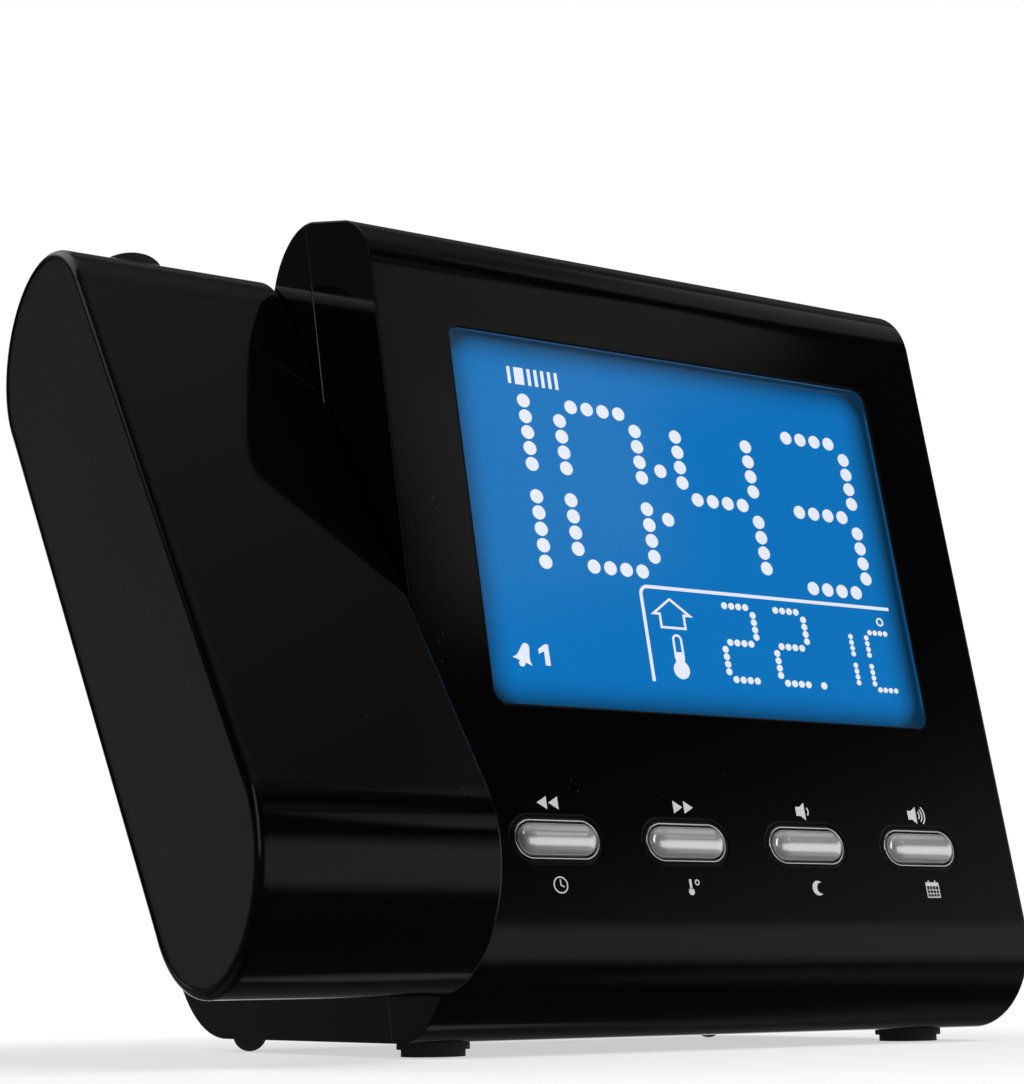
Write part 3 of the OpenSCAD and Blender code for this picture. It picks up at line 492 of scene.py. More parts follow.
def clear_material(name, color, roughness, ior, coating=1.0):
    """Clear plastic or glass with faint wiping marks in its polish.

    coating is the share of its plain reflection that a coating against glare leaves.
    """
    made, tree, shader, place = start_material(name)
    tree.links.new(polished(tree, place, roughness, WIPING, WIPING), shader.inputs["Roughness"])
    tree.links.new(toned(tree, place, rgba(color), 25.0, 0.01), shader.inputs["Base Color"])
    shader.inputs["Transmission Weight"].default_value = 1.0
    shader.inputs["Specular Tint"].default_value = grey(coating)
    shader.inputs["IOR"].default_value = ior
    return made


def lit_material(name, roughness):
    """A glowing surface that hardly mirrors, with its own light's colour still to be given."""
    made, tree, shader, place = start_material(name)
    shader.inputs["Roughness"].default_value = roughness
    shader.inputs["Specular IOR Level"].default_value = 0.05
    return made, tree, shader, place


def set_glow(tree, shader, color, strength, unlit):
    """Lets a surface glow in the colour, and gives it a share of that colour where light falls."""
    tree.links.new(color, shader.inputs["Emission Color"])
    tree.links.new(mix_color(tree, 1.0, color, grey(unlit), "MULTIPLY"), shader.inputs["Base Color"])
    shader.inputs["Emission Strength"].default_value = strength


def glow_material(name, settings):
    """The backlit glass: full colour in the middle, with painted frame shade in a soft band along its
    rim.

    The painted shade is the square of the distance beyond the band's inner edge over the band's width.
    """
    made, tree, shader, place = lit_material(name, 0.35)
    half = (WINDOW_HIGH - WINDOW_LOW) / 2 - RIM_LIP
    turned = add_node(tree, "ShaderNodeMapping", {
        "Vector": place, "Rotation": (FACE_LEAN - math.pi / 2, 0.0, 0.0),
        "Location": (-WINDOW_MID[0], -WINDOW_MID[1] - FACE_FOOT @ FACE_UP, 0.0)})
    parts = add_node(tree, "ShaderNodeSeparateXYZ", {"Vector": turned.outputs[0]}).outputs
    squares = []
    for axis in (0, 1):
        off_middle = math_node(tree, "ABSOLUTE", parts[axis])
        past_edge = math_node(tree, "SUBTRACT", off_middle, half[axis] - FRAME_SHADE_BAND)
        beyond = math_node(tree, "MAXIMUM", past_edge, 0.0)
        squares.append(math_node(tree, "MULTIPLY", beyond, beyond))
    away = math_node(tree, "SQRT", math_node(tree, "ADD", *squares))
    share = math_node(tree, "DIVIDE", away, FRAME_SHADE_BAND)
    # Painted shade: the glow darkens towards the window's rim, where the frame shades it
    dim = math_node(tree, "MULTIPLY", share, share, clamp=True)
    color = mix_color(tree, dim, rgba(settings.glow), rgba(settings.glow_shaded_rim))
    set_glow(tree, shader, toned(tree, place, color, 30.0, 0.03), 1.0, 0.05)
    return made


def mark_material(name, color, strength):
    """A lit mark, a little uneven in brightness as lit liquid crystal is."""
    made, tree, shader, place = lit_material(name, 0.5)
    set_glow(tree, shader, toned(tree, place, rgba(color), 260.0, 0.05), strength, 0.1)
    return made


# ---------------------------------------------------------------------------------------------
# Patterns of single finishes

def board_pattern(tree, place, color):
    """Printed board: traces where the distance in square cells folds near zero, and pads in a grid."""
    fold = math_node(tree, "PINGPONG", cell_distance(tree, place, 420.0, 0.85, "CHEBYCHEV"), 0.22)
    trace = math_node(tree, "LESS_THAN", fold, 0.045)
    pad = math_node(tree, "LESS_THAN", cell_distance(tree, place, 330.0, 0.2), 0.2)
    base = mix_color(tree, trace, color, (0.03, 0.16, 0.05, 1.0))
    base = mix_color(tree, pad, base, (0.62, 0.6, 0.55, 1.0))
    return base, math_node(tree, "MAXIMUM", trace, pad)


def coil_pattern(tree, place, color):
    """Wound wire: ridges across the rod's length, one per turn."""
    wave = add_node(tree, "ShaderNodeTexWave", {"Vector": place, "Scale": 420.0, "Distortion": 0.3},
                    wave_type="BANDS", bands_direction="X").outputs["Fac"]
    return mix_color(tree, wave, (0.12, 0.03, 0.01, 1.0), color), wave


def turned_pattern(tree, place, color):
    """Drawn or turned steel: streaks along the part's X axis."""
    streak = noise(tree, stretched(tree, place, (40.0, 1800.0, 1800.0)), 1.0, 3.0)
    share = math_node(tree, "MULTIPLY", streak, 0.5)
    return mix_color(tree, share, color, (0.25, 0.25, 0.26, 1.0)), streak


def paper_pattern(tree, place, color):
    """Pressed paper cone: tangled fibres by a distorted noise."""
    fibres = noise(tree, place, 900.0, 8.0, 2.5)
    return mix_color(tree, fibres, color, (0.05, 0.05, 0.052, 1.0)), fibres


def chip_pattern(tree, place, color):
    """Moulded chips and switches: dark resin with pale speckle where solder catches the light."""
    cells = cell_distance(tree, place, 700.0)
    return mix_color(tree, math_node(tree, "LESS_THAN", cells, 0.12), color, grey(0.3)), cells


def make_finishes(finish, display):
    """One material for each finish of the clock, by the name of the record's slot."""
    case = dict(specular=0.17, tone=0.2, smear=0.03, hairline=0.04, dust=finish.dust)
    return {
        "gloss_black": surface_material(
            "Polished Black Plastic", finish.case_color, finish.case_roughness,
            grain=2e-6, grain_scale=700.0, edge=0.6 * MM, **case),
        "key_black": surface_material(
            "Black Top Keys", (0.006, 0.006, 0.0065), 0.3,
            grain=1e-5, grain_scale=2500.0, edge=0.4 * MM, **case),
        "matte_black": surface_material(
            "Fine Grained Black", (0.008, 0.008, 0.0085), 0.42,
            grain=2e-5, grain_scale=2600.0, edge=0.25 * MM, **case),
        "cap_grey": surface_material(
            "Matt Arm Cap", finish.cap_color, 0.4, specular=0.36, tone=0.12, smear=0.1,
            grain=1.2e-5, grain_scale=3200.0, dust=0.02),
        "black_rubber": surface_material(
            "Rubber Feet", (0.012, 0.012, 0.012), 0.72, specular=0.25, tone=0.25, grain=4e-5,
            grain_scale=1600.0, dust=0.35),
        "bright_chrome": surface_material(
            "Chromed Keys", (0.83, 0.84, 0.86), 0.07, metallic=1.0, tone=0.02, hairline=0.12,
            grain=1.2e-6, grain_scale=500.0),
        "window": clear_material("Display Window", (1.0, 1.0, 1.0), 0.01, 1.49, coating=0.1),
        "display_blue": glow_material("Backlit Display Glass", display),
        "clear_plastic": clear_material("Light Guide", (0.95, 0.97, 1.0), 0.08, 1.49),
        "clear_glass": clear_material("Projector Lenses", (0.93, 0.96, 0.99), 0.0, 1.52),
        "slide_glass": surface_material("Projector Slide", (0.03, 0.03, 0.035), 0.1),
        "white_plastic": surface_material(
            "White Moulding", (0.78, 0.78, 0.75), 0.4, tone=0.04, grain=2e-5, grain_scale=1800.0),
        "strip_rubber": surface_material(
            "Contact Strips", (0.55, 0.35, 0.28), 0.6, tone=0.2, grain=2e-5, grain_scale=2500.0),
        "board_green": surface_material(
            "Printed Board", (0.012, 0.09, 0.025), 0.3, pattern=board_pattern, grain=2e-5),
        "chip_black": surface_material(
            "Chips and Switches", (0.012, 0.012, 0.013), 0.45, pattern=chip_pattern, grain=1.5e-5),
        "speaker_metal": surface_material(
            "Speaker Basket", (0.5, 0.5, 0.5), 0.32, metallic=1.0, pattern=turned_pattern, grain=8e-6),
        "cone_black": surface_material(
            "Paper Cone", (0.016, 0.016, 0.017), 0.75, specular=0.2, pattern=paper_pattern, grain=4e-5),
        "magnet_grey": surface_material(
            "Ferrite", (0.045, 0.045, 0.05), 0.5, tone=0.25, grain=3e-5, grain_scale=1200.0),
        "coil_copper": surface_material(
            "Copper Winding", (0.72, 0.25, 0.1), 0.3, metallic=1.0, pattern=coil_pattern, grain=8e-5),
        "spring_steel": surface_material(
            "Battery Springs", (0.62, 0.61, 0.58), 0.28, metallic=1.0, pattern=turned_pattern,
            grain=6e-6),
        "screw_steel": surface_material(
            "Zinc Screws", (0.55, 0.54, 0.5), 0.33, metallic=1.0, pattern=turned_pattern, grain=8e-6),
        "hub_steel": surface_material(
            "Hinge Hub", (0.5, 0.5, 0.51), 0.3, metallic=1.0, pattern=turned_pattern, grain=8e-6),
        "washer_brass": surface_material(
            "Brass Washer", (0.65, 0.42, 0.16), 0.3, metallic=1.0, tone=0.15, grain=6e-6),
        "led_red": surface_material("Red Lamp", (0.5, 0.02, 0.015), 0.15, specular=0.6, tone=0.1),
    }


# ---------------------------------------------------------------------------------------------
# The display's picture, in millimetres across from the model's middle and up the face

SEGMENTS = {"0": "abcdef", "1": "bc", "2": "abdeg", "3": "abcdg", "4": "bcfg", "5": "acdfg",
            "6": "acdefg", "7": "abc", "8": "abcdefg", "9": "abcdfg", "C": "adef", " ": ""}
# Dots of each segment, as columns 0 to 5 and rows 0 to 10
SEGMENT_DOTS = {
    "a": [(column, 10) for column in range(1, 5)], "g": [(column, 5) for column in range(1, 5)],
    "d": [(column, 0) for column in range(1, 5)], "b": [(5, row) for row in range(6, 10)],
    "c": [(5, row) for row in range(1, 5)], "e": [(0, row) for row in range(1, 5)],
    "f": [(0, row) for row in range(6, 10)],
}
# Places of the columns as shares of a digit's width
COLUMN_SHARES = np.array((0.0, 0.175, 0.387, 0.598, 0.81, 1.0))
# The large digits and the colon between them
DIGIT_W, DIGIT_H, DIGIT_BASE = 16.95, 31.8, 88.05
DIGIT_LEFTS = (-29.3, -4.9, 21.45, 46.15)
COLON_X, COLON_UP = 16.65, (99.1, 109.0)
DOT_SIDES = 28
# The temperature: whole degrees, and the smaller tenth and unit by their share of that size
SMALL_W, SMALL_H, SMALL_BASE = 7.8, 14.55, 68.2
SMALL_LEFTS = (25.15, 37.3)
SMALL_DOT, SMALL_DOT_SIDES = 0.68, 14
TENTH_SHARE, TENTH_LEFT, UNIT_LEFT = 0.804, 50.0, 60.25
TENTH_DOT, TENTH_DOT_SIDES = 0.54, 12
POINT_X, POINT_DOT = 47.4, 0.72
DEGREE_MIDDLE, DEGREE_RADIUS, DEGREE_LINE = (64.5, 82.3), 0.72, 0.3
# The house, and the thermometer under it with its tube, filling and bulb
HOUSE_X, HOUSE_PEAK, HOUSE_EAVES, HOUSE_FLOOR = 13.9, 83.0, 80.0, 77.4
HOUSE_ROOF_HALF, HOUSE_WALL_HALF, HOUSE_LINE = 4.1, 2.7, 0.42
TUBE_X, TUBE_HALF, TUBE_LOW, TUBE_HIGH, TUBE_LINE = 14.25, 0.88, 71.4, 75.1, 0.4
FILL_HALF, FILL_LOW, FILL_HIGH = 0.95, 70.0, 72.7
BULB_UP, BULB_RADIUS = 69.3, 1.75
# The line round the temperature's corner
PANEL_LEFT, PANEL_RIGHT, PANEL_LOW, PANEL_HIGH = 7.65, 67.4, 66.8, 85.15
PANEL_BEND, PANEL_LINE = 1.65, 0.62
# The bell of the alarm and its number
BELL_MIDDLE, BELL_TILT, BELL_TOP, BELL_RISE = (-19.6, 70.3), math.radians(-20), 1.9, 3.5
BELL_TIP, BELL_DOME, BELL_FLARE = 0.35, 0.95, 0.75
CLAPPER_DOWN, CLAPPER_RADIUS = 2.0, 0.62
ALARM_ONE_FOOT = (-14.4, 68.3)
ALARM_ONE = ((-0.95, 0.0), (0.0, 0.0), (0.0, 3.9), (-0.75, 3.9), (-2.1, 3.0), (-2.1, 2.1),
             (-0.95, 2.65))
# The bars of the weekday
BARS_LEFT, BARS_LOW, BARS_HIGH = -15.1, 123.1, 126.5
BAR_THIN, BAR_BROAD, BAR_GAP = 0.62, 2.0, 0.88
# How far the marks stand out of the display's glass, and how near to it they end
MARK_FRONT, MARK_BACK = -0.14, -0.02
MARK_STRENGTH = 1.06


def digit_dots(text, left, base, width, height):
    """Middles of a digit's dots: its segments' columns and rows, spread over its width and height."""
    cells = [cell for segment in SEGMENTS[text] for cell in SEGMENT_DOTS[segment]]
    if not cells:
        return np.empty((0, 2))
    columns, rows = np.array(cells).T
    return np.column_stack((left + width * COLUMN_SHARES[columns], base + height * rows / 10))


def lcd_plate(outline):
    """A flat mark of the display, its outline in millimetres."""
    return plate(np.asarray(outline, float) * MM, LCD_FRONT + MARK_FRONT * MM,
                 LCD_FRONT + MARK_BACK * MM)


def lcd_stroke(path, width, closed=False):
    """A line of the display, its path and width in millimetres."""
    return stroke(np.asarray(path, float) * MM, width * MM, LCD_FRONT + MARK_FRONT * MM,
                  LCD_FRONT + MARK_BACK * MM, closed)


def dots(middles, radius, sides):
    """A round plate of the given radius, in millimetres, at each middle."""
    return [lcd_plate(circle(middle, radius, sides)) for middle in middles]


def bar(left, right, low, high):
    """Outline of an upright rectangle."""
    return [(left, low), (right, low), (right, high), (left, high)]


def time_marks(settings):
    """Dots of the hours, the minutes and the colon. A leading one has one more at either end."""
    text = f"{settings.hours:2d}{settings.minutes:02d}"
    radius = settings.dot / MM
    parts = []
    for place, (digit, left) in enumerate(zip(text, DIGIT_LEFTS)):
        middles = digit_dots(digit, left, DIGIT_BASE, DIGIT_W, DIGIT_H)
        if place == 0 and digit == "1":
            ends = np.array([(left + DIGIT_W, DIGIT_BASE), (left + DIGIT_W, DIGIT_BASE + DIGIT_H)])
            middles = np.concatenate((middles, ends))
        parts += dots(middles, radius, DOT_SIDES)
    return parts + dots([(COLON_X, up) for up in COLON_UP], radius, DOT_SIDES)


def temperature_marks(settings):
    """Dots of the temperature, its point and its unit, and the ring of the degree sign."""
    text = f"{settings.tenths:3d}"
    parts = []
    for digit, left in zip(text[:2], SMALL_LEFTS):
        middles = digit_dots(digit, left, SMALL_BASE, SMALL_W, SMALL_H)
        parts += dots(middles, SMALL_DOT, SMALL_DOT_SIDES)
    for digit, left in ((text[2], TENTH_LEFT), ("C", UNIT_LEFT)):
        middles = digit_dots(digit, left, SMALL_BASE, SMALL_W * TENTH_SHARE, SMALL_H * TENTH_SHARE)
        parts += dots(middles, TENTH_DOT, TENTH_DOT_SIDES)
    parts += dots([(POINT_X, SMALL_BASE)], POINT_DOT, SMALL_DOT_SIDES)
    parts.append(lcd_stroke(circle(DEGREE_MIDDLE, DEGREE_RADIUS), DEGREE_LINE, closed=True))
    return parts


def house_marks():
    """Outline of a house for the indoor reading."""
    right_roof, left_roof = HOUSE_X + HOUSE_ROOF_HALF, HOUSE_X - HOUSE_ROOF_HALF
    right_wall, left_wall = HOUSE_X + HOUSE_WALL_HALF, HOUSE_X - HOUSE_WALL_HALF
    return [lcd_stroke([(HOUSE_X, HOUSE_PEAK), (right_roof, HOUSE_EAVES), (right_wall, HOUSE_EAVES),
                        (right_wall, HOUSE_FLOOR), (left_wall, HOUSE_FLOOR), (left_wall, HOUSE_EAVES),
                        (left_roof, HOUSE_EAVES)], HOUSE_LINE, closed=True)]


def thermometer_marks():
    """A thermometer: a tube in outline above, filled below, and its bulb."""
    top = circle((TUBE_X, TUBE_HIGH), TUBE_HALF, 13, 0.0, math.pi, closed=False)
    tube = np.concatenate(([(TUBE_X + TUBE_HALF, TUBE_LOW)], top, [(TUBE_X - TUBE_HALF, TUBE_LOW)]))
    return [lcd_stroke(tube, TUBE_LINE),
            lcd_plate(bar(TUBE_X - FILL_HALF, TUBE_X + FILL_HALF, FILL_LOW, FILL_HIGH)),
            lcd_plate(circle((TUBE_X, BULB_UP), BULB_RADIUS, DOT_SIDES))]


def panel_line():
    """Line round the temperature's corner of the display, with a round upper left corner."""
    bend = circle((PANEL_LEFT + PANEL_BEND, PANEL_HIGH - PANEL_BEND), PANEL_BEND, 9,
                  math.pi, math.pi / 2, closed=False)
    path = np.concatenate(([(PANEL_LEFT, PANEL_LOW)], bend, [(PANEL_RIGHT, PANEL_HIGH)]))
    return [lcd_stroke(path, PANEL_LINE)]


def alarm_marks():
    """A tilted bell with its clapper, and the number of the alarm beside it.

    At the share s from the bell's top to its rim, half of its width is the tip plus the dome times
    the root of s plus the flare times the sixth power of s.
    """
    share = np.linspace(0.0, 1.0, 15)
    width = BELL_TIP + BELL_DOME * np.sqrt(share) + BELL_FLARE * share ** 6
    half = np.column_stack((width, BELL_TOP - BELL_RISE * share))
    outline = np.concatenate((half, (half * (-1, 1))[::-1]))
    turn = np.array(((math.cos(BELL_TILT), -math.sin(BELL_TILT)),
                     (math.sin(BELL_TILT), math.cos(BELL_TILT))))
    outline = outline @ turn.T + BELL_MIDDLE
    clapper = circle(np.array((0.0, -CLAPPER_DOWN)) @ turn.T + BELL_MIDDLE, CLAPPER_RADIUS, 18)
    number = np.array(ALARM_ONE) + ALARM_ONE_FOOT
    return [lcd_plate(outline[::-1]), lcd_plate(clapper), lcd_plate(number)]


def weekday_marks(settings):
    """Seven bars for the days of the week, the broad one for the day shown."""
    parts, left = [], BARS_LEFT
    for day in range(7):
        width = BAR_BROAD if day == settings.weekday else BAR_THIN
        parts.append(lcd_plate(bar(left, left + width, BARS_LOW, BARS_HIGH)))
        left += width + BAR_GAP
    return parts


# ---------------------------------------------------------------------------------------------
# Printed symbols of the front face, in millimetres

PRINT_FRONT, PRINT_BACK = -0.02, 0.06
# Heights of the symbols above and below the keys on the face, and their middles across it
SYMBOL_UP, CAPTION_UP = 42.8, 28.6
SYMBOL_X = (-20.3, 8.15, 35.3, 62.2)
CAPTION_X = (-19.8, 7.95, 35.7, 63.2)
# Arrows: half the way from one to the next, half their height, and their back and tip
ARROW_STEP, ARROW_HALF, ARROW_BACK, ARROW_TIP = 1.15, 1.15, 0.98, 1.0
# A loudspeaker's back, neck and mouth from its middle, and half heights of its box and its mouth
HORN_BACK, HORN_NECK, HORN_MOUTH, HORN_BOX_HALF, HORN_MOUTH_HALF = -1.75, -0.8, 0.3, 0.85, 1.65
WAVE_MIDDLE, WAVE_FIRST, WAVE_STEP, WAVE_SPREAD, WAVE_LINE = 0.15, 0.95, 0.65, 0.8, 0.27
CAPTION_RADIUS, CAPTION_LINE = 1.35, 0.22
DIAL_LINE, LONG_HAND, SHORT_HAND = 0.24, (0.0, 0.95), (0.7, -0.35)
STEM_X, STEM_LOW, STEM_HIGH, STEM_LINE = -0.7, -0.6, 1.3, 0.5
STEM_BULB_UP, STEM_BULB_RADIUS = -0.9, 0.62
STEM_RING, STEM_RING_RADIUS = (0.75, 0.75), 0.42
# How far the crescent's inner arc is moved aside, and half of the angle between its tips
MOON_SHIFT, MOON_GAP = 0.75, math.radians(50)
LEAF_HALF, LEAF_LOW, LEAF_HIGH, HEAD_DOWN, HEAD_LINE = 1.5, -1.45, 1.25, 0.35, 0.5
DAY_W, DAY_H, DAY_DOWN, DAY_LINE = 0.75, 0.68, 0.3, 0.14
TAB_X, TAB_UP, TAB_LINE = 0.8, 0.45, 0.3


def print_plate(outline):
    """A flat printed shape on the face, its outline in millimetres."""
    return plate(np.asarray(outline, float) * MM, PRINT_FRONT * MM, PRINT_BACK * MM)


def print_stroke(path, width, closed=False):
    """A printed line on the face, its path and width in millimetres."""
    return stroke(np.asarray(path, float) * MM, width * MM, PRINT_FRONT * MM, PRINT_BACK * MM, closed)


def arrows(middle, way):
    """Two triangles in a row that point left (way -1) or right (way 1)."""
    parts = []
    for x in (middle - ARROW_STEP, middle + ARROW_STEP):
        back = x - way * ARROW_BACK
        outline = [(back, SYMBOL_UP + ARROW_HALF), (back, SYMBOL_UP - ARROW_HALF),
                   (x + way * ARROW_TIP, SYMBOL_UP)]
        parts.append(print_plate(outline[::way]))
    return parts


def loudspeaker(middle, waves):
    """A loudspeaker with arcs for its sound, each arc further out than the last."""
    back, neck, mouth = middle + HORN_BACK, middle + HORN_NECK, middle + HORN_MOUTH
    half = [(back, HORN_BOX_HALF), (neck, HORN_BOX_HALF), (mouth, HORN_MOUTH_HALF)]
    lower = [(x, SYMBOL_UP - out) for x, out in half]
    upper = [(x, SYMBOL_UP + out) for x, out in half[::-1]]
    parts = [print_plate(lower + upper)]
    for wave in range(waves):
        arc = circle((middle + WAVE_MIDDLE, SYMBOL_UP), WAVE_FIRST + WAVE_STEP * wave, 13,
                     -WAVE_SPREAD, WAVE_SPREAD, closed=False)
        parts.append(print_stroke(arc, WAVE_LINE))
    return parts


def dial_symbol(middle):
    """A small clock dial with two hands."""
    place = np.array((middle, CAPTION_UP))
    hands = [place + LONG_HAND, place, place + SHORT_HAND]
    return [print_stroke(circle(place, CAPTION_RADIUS, 32), DIAL_LINE, closed=True),
            print_stroke(hands, CAPTION_LINE)]


def degree_symbol(middle):
    """A small thermometer with a degree ring beside it."""
    place = np.array((middle, CAPTION_UP))
    stem = [place + (STEM_X, STEM_LOW), place + (STEM_X, STEM_HIGH)]
    bulb = circle(place + (STEM_X, STEM_BULB_UP), STEM_BULB_RADIUS, 20)
    ring = circle(place + STEM_RING, STEM_RING_RADIUS, 20)
    return [print_stroke(stem, STEM_LINE), print_plate(bulb),
            print_stroke(ring, CAPTION_LINE, closed=True)]


def moon_symbol(middle):
    """A crescent: an outer arc, and an inner arc about a middle that is moved aside."""
    outer = circle((middle, CAPTION_UP), CAPTION_RADIUS, 25, MOON_GAP, 2 * math.pi - MOON_GAP,
                   closed=False)
    centre = np.array((middle + MOON_SHIFT, CAPTION_UP))
    across, up = outer[0] - centre
    turn = math.atan2(up, across)
    inner = circle(centre, math.hypot(across, up), 21, 2 * math.pi - turn, turn, closed=False)
    return [print_plate(np.concatenate((outer, inner[1:-1])))]


def calendar_symbol(middle):
    """A calendar leaf: a frame, a head bar, a grid of days and two tabs."""
    left, right = middle - LEAF_HALF, middle + LEAF_HALF
    low, high = CAPTION_UP + LEAF_LOW, CAPTION_UP + LEAF_HIGH
    head = high - HEAD_DOWN
    parts = [print_stroke(bar(left, right, low, high), CAPTION_LINE, closed=True),
             print_stroke([(left, head), (right, head)], HEAD_LINE)]
    for x in (middle - DAY_W, middle, middle + DAY_W):
        parts.append(print_stroke([(x, low), (x, high - DAY_DOWN)], DAY_LINE))
    for up in (low + DAY_H, low + 2 * DAY_H):
        parts.append(print_stroke([(left, up), (right, up)], DAY_LINE))
    for x in (middle - TAB_X, middle + TAB_X):
        parts.append(print_stroke([(x, high), (x, high + TAB_UP)], TAB_LINE))
    return parts


# ---------------------------------------------------------------------------------------------
# Chromed keys of the front face

KEY_ROWS = 14
# Share of a key's height to which its crest shrinks, so that its last ring still has an area
KEY_TIP = 1e-3
KEY_FLANGE = 1.0 * MM
KEY_CROWN = 2.0 * MM
# How much lower the dome is than the plain key
KEY_SHY = 0.8 * MM
# The bright bead round a key: inner and outer half height, and how far it stands out of the face
BEAD_IN, BEAD_OUT, BEAD_UP = 3.15 * MM, 3.48 * MM, 0.22 * MM
# The black bezel round the bead: outer half height, depth, and how far its front lies in the face
BEZEL_OUT, BEZEL_DEEP, BEZEL_SINK = 4.12 * MM, 1.5 * MM, 0.03 * MM


def key_frame(name):
    """Lowest and highest place of a key on the face, and half its height without its root's flange."""
    low, high = face_range(name + "_button")
    return low, high, (high - low)[1] / 2 - KEY_FLANGE


def pill_surface(name, profile, closed):
    """Pills about a key, one for each pair of half height and depth, joined from each to the next."""
    low, high, half = key_frame(name)
    middle = ((low + high) / 2)[:2]
    reach = (high - low)[0] / 2 - KEY_FLANGE - half
    rings = [on_face(*pill(middle, reach, radius).T, depth) for radius, depth in profile]
    return np.concatenate(rings), ring_faces(len(rings), PILL_SIDES, closed)


def key_surface(name):
    """A pill whose section is a quarter ellipse from its side wall to its crest.

    At the angle t from 0 to a quarter turn, half of its height shrinks with the cosine of t, and it
    stands out of the face by the crown times the sine of t. Below that the wall runs straight back,
    and ends in the wider flange that keeps the key in its socket.
    """
    low, high, root_half = key_frame(name)
    half = root_half - KEY_SHY / 2
    turn = np.linspace(0.0, math.pi / 2, KEY_ROWS)
    crown = np.column_stack((half * np.maximum(np.cos(turn), KEY_TIP),
                             low[2] + KEY_CROWN * (1 - np.sin(turn))))
    flange, back = root_half + KEY_FLANGE, high[2] - KEY_FLANGE
    root = [(flange, high[2]), (flange, back), (half, back)]
    return pill_surface(name, np.concatenate((root, crown)), False)


def bead_surface(name):
    """Half a round bead, carried round the key, with a straight wall down into its socket.

    At the angle t from 0 to a half turn, the half height is the bead's middle less its half width
    times the cosine of t, and the bead stands up by its height times the sine of t.
    """
    turn = np.linspace(0.0, math.pi, 9)
    width = (BEAD_OUT - BEAD_IN) / 2
    bead = np.column_stack((BEAD_IN + width - width * np.cos(turn), -BEAD_UP * np.sin(turn)))
    back = face_range("button_sockets")[1][2]
    return pill_surface(name, np.concatenate(([(BEAD_IN, back)], bead, [(BEAD_OUT, back)])), True)


def bezel_surface(name):
    """A flat ring that lies almost flush with the face, from the bead out to the socket's hole."""
    profile = [(BEAD_OUT, BEZEL_DEEP), (BEAD_OUT, BEZEL_SINK), (BEZEL_OUT, BEZEL_SINK),
               (BEZEL_OUT, BEZEL_DEEP)]
    return pill_surface(name, profile, True)


# ---------------------------------------------------------------------------------------------
# Focus ring

# Points round the ring, how many ridges it has, and how deep they are
RING_SIDES, RING_RIDGES, RING_RIDGE = 576, 96, 0.07 * MM
# Radii of the bore and of the lip over it, and the lip's thickness
RING_BORE, RING_LIP, RING_LIP_T = 6.05 * MM, 5.05 * MM, 0.8 * MM
RING_CHAMFER, LIP_CHAMFER = 0.2 * MM, 0.15 * MM
# The round shoulder of the ring: how far it reaches in, and how far down
SHOULDER_IN, SHOULDER_DOWN = 0.7 * MM, 0.55 * MM


def ring_surface():
    """The focus ring: a profile turned about the projector's axis, with fine ridges round its wall.

    A point of the profile with the radius r stands at r less the ridge depth times the mask of the
    wall times half of one minus the cosine of the number of ridges times the angle.
    """
    joint = JOINTS["focus_turn"]
    axis = np.array(joint["axis"], float)
    across = np.cross(axis, ACROSS)
    foot = np.array(joint["pos_m"], float)
    places = corners("focus_ring") - foot
    height = places @ axis
    low, high = height.min(), height.max()
    wide = np.linalg.norm(places - height[:, None] * axis, axis=1).max()
    turn = np.linspace(0.0, math.pi / 2, 7)
    shoulder = np.column_stack((wide - SHOULDER_IN * (1 - np.cos(turn)),
                                high - SHOULDER_DOWN * (1 - np.sin(turn)), 1 - turn))
    foot_edge = [(RING_BORE, low, 0), (wide - RING_CHAMFER, low, 0), (wide, low + RING_CHAMFER, 1)]
    lip = [(RING_LIP + LIP_CHAMFER, high, 0), (RING_LIP, high - LIP_CHAMFER, 0),
           (RING_LIP, high - RING_LIP_T, 0), (RING_BORE, high - RING_LIP_T, 0)]
    profile = np.concatenate((foot_edge, shoulder, lip))
    mask = np.clip(profile[:, 2], 0, 1)[:, None]
    angle = np.linspace(0, 2 * math.pi, RING_SIDES, endpoint=False)[None, :]
    radius = profile[:, :1] - RING_RIDGE * mask * (1 - np.cos(RING_RIDGES * angle)) / 2
    points = (foot + profile[:, 1][:, None, None] * axis + (radius * np.cos(angle))[..., None] * ACROSS
              + (radius * np.sin(angle))[..., None] * across)
    return points.reshape(-1, 3), ring_faces(len(profile), RING_SIDES, True)


# ---------------------------------------------------------------------------------------------
# Operators

class CLOCK_OT_finishes(bpy.types.Operator):
    """Give every node of the clock the material of its finish"""
    bl_idname = "clock.finishes"
    bl_label = "Finishes"

    def execute(self, context):
        finishes = make_finishes(context.scene.clock_finish, context.scene.clock_display)
        for name, node in frame["nodes"].items():
            for place in node.material_slots:
                slot = place.material.name.split(".")[0]
                if slot not in finishes:
                    raise RuntimeError(f"{name} has the finish {slot!r}, and no material is made for it")
                place.material = finishes[slot]
        return {"FINISHED"}


class CLOCK_OT_display(bpy.types.Operator):
    """Lay the lit marks on the display's glass"""
    bl_idname = "clock.display"
    bl_label = "Display picture"

    def execute(self, context):
        settings = context.scene.clock_display
        lit = mark_material("Lit Marks", settings.mark, MARK_STRENGTH)
        groups = {
            "time_digits": time_marks(settings), "temperature_digits": temperature_marks(settings),
            "indoor_symbol": house_marks() + thermometer_marks(), "panel_line": panel_line(),
            "alarm_symbol": alarm_marks(), "weekday_bars": weekday_marks(settings),
        }
        for name, parts in groups.items():
            piece(name, join(parts), "housing", lit)
        return {"FINISHED"}


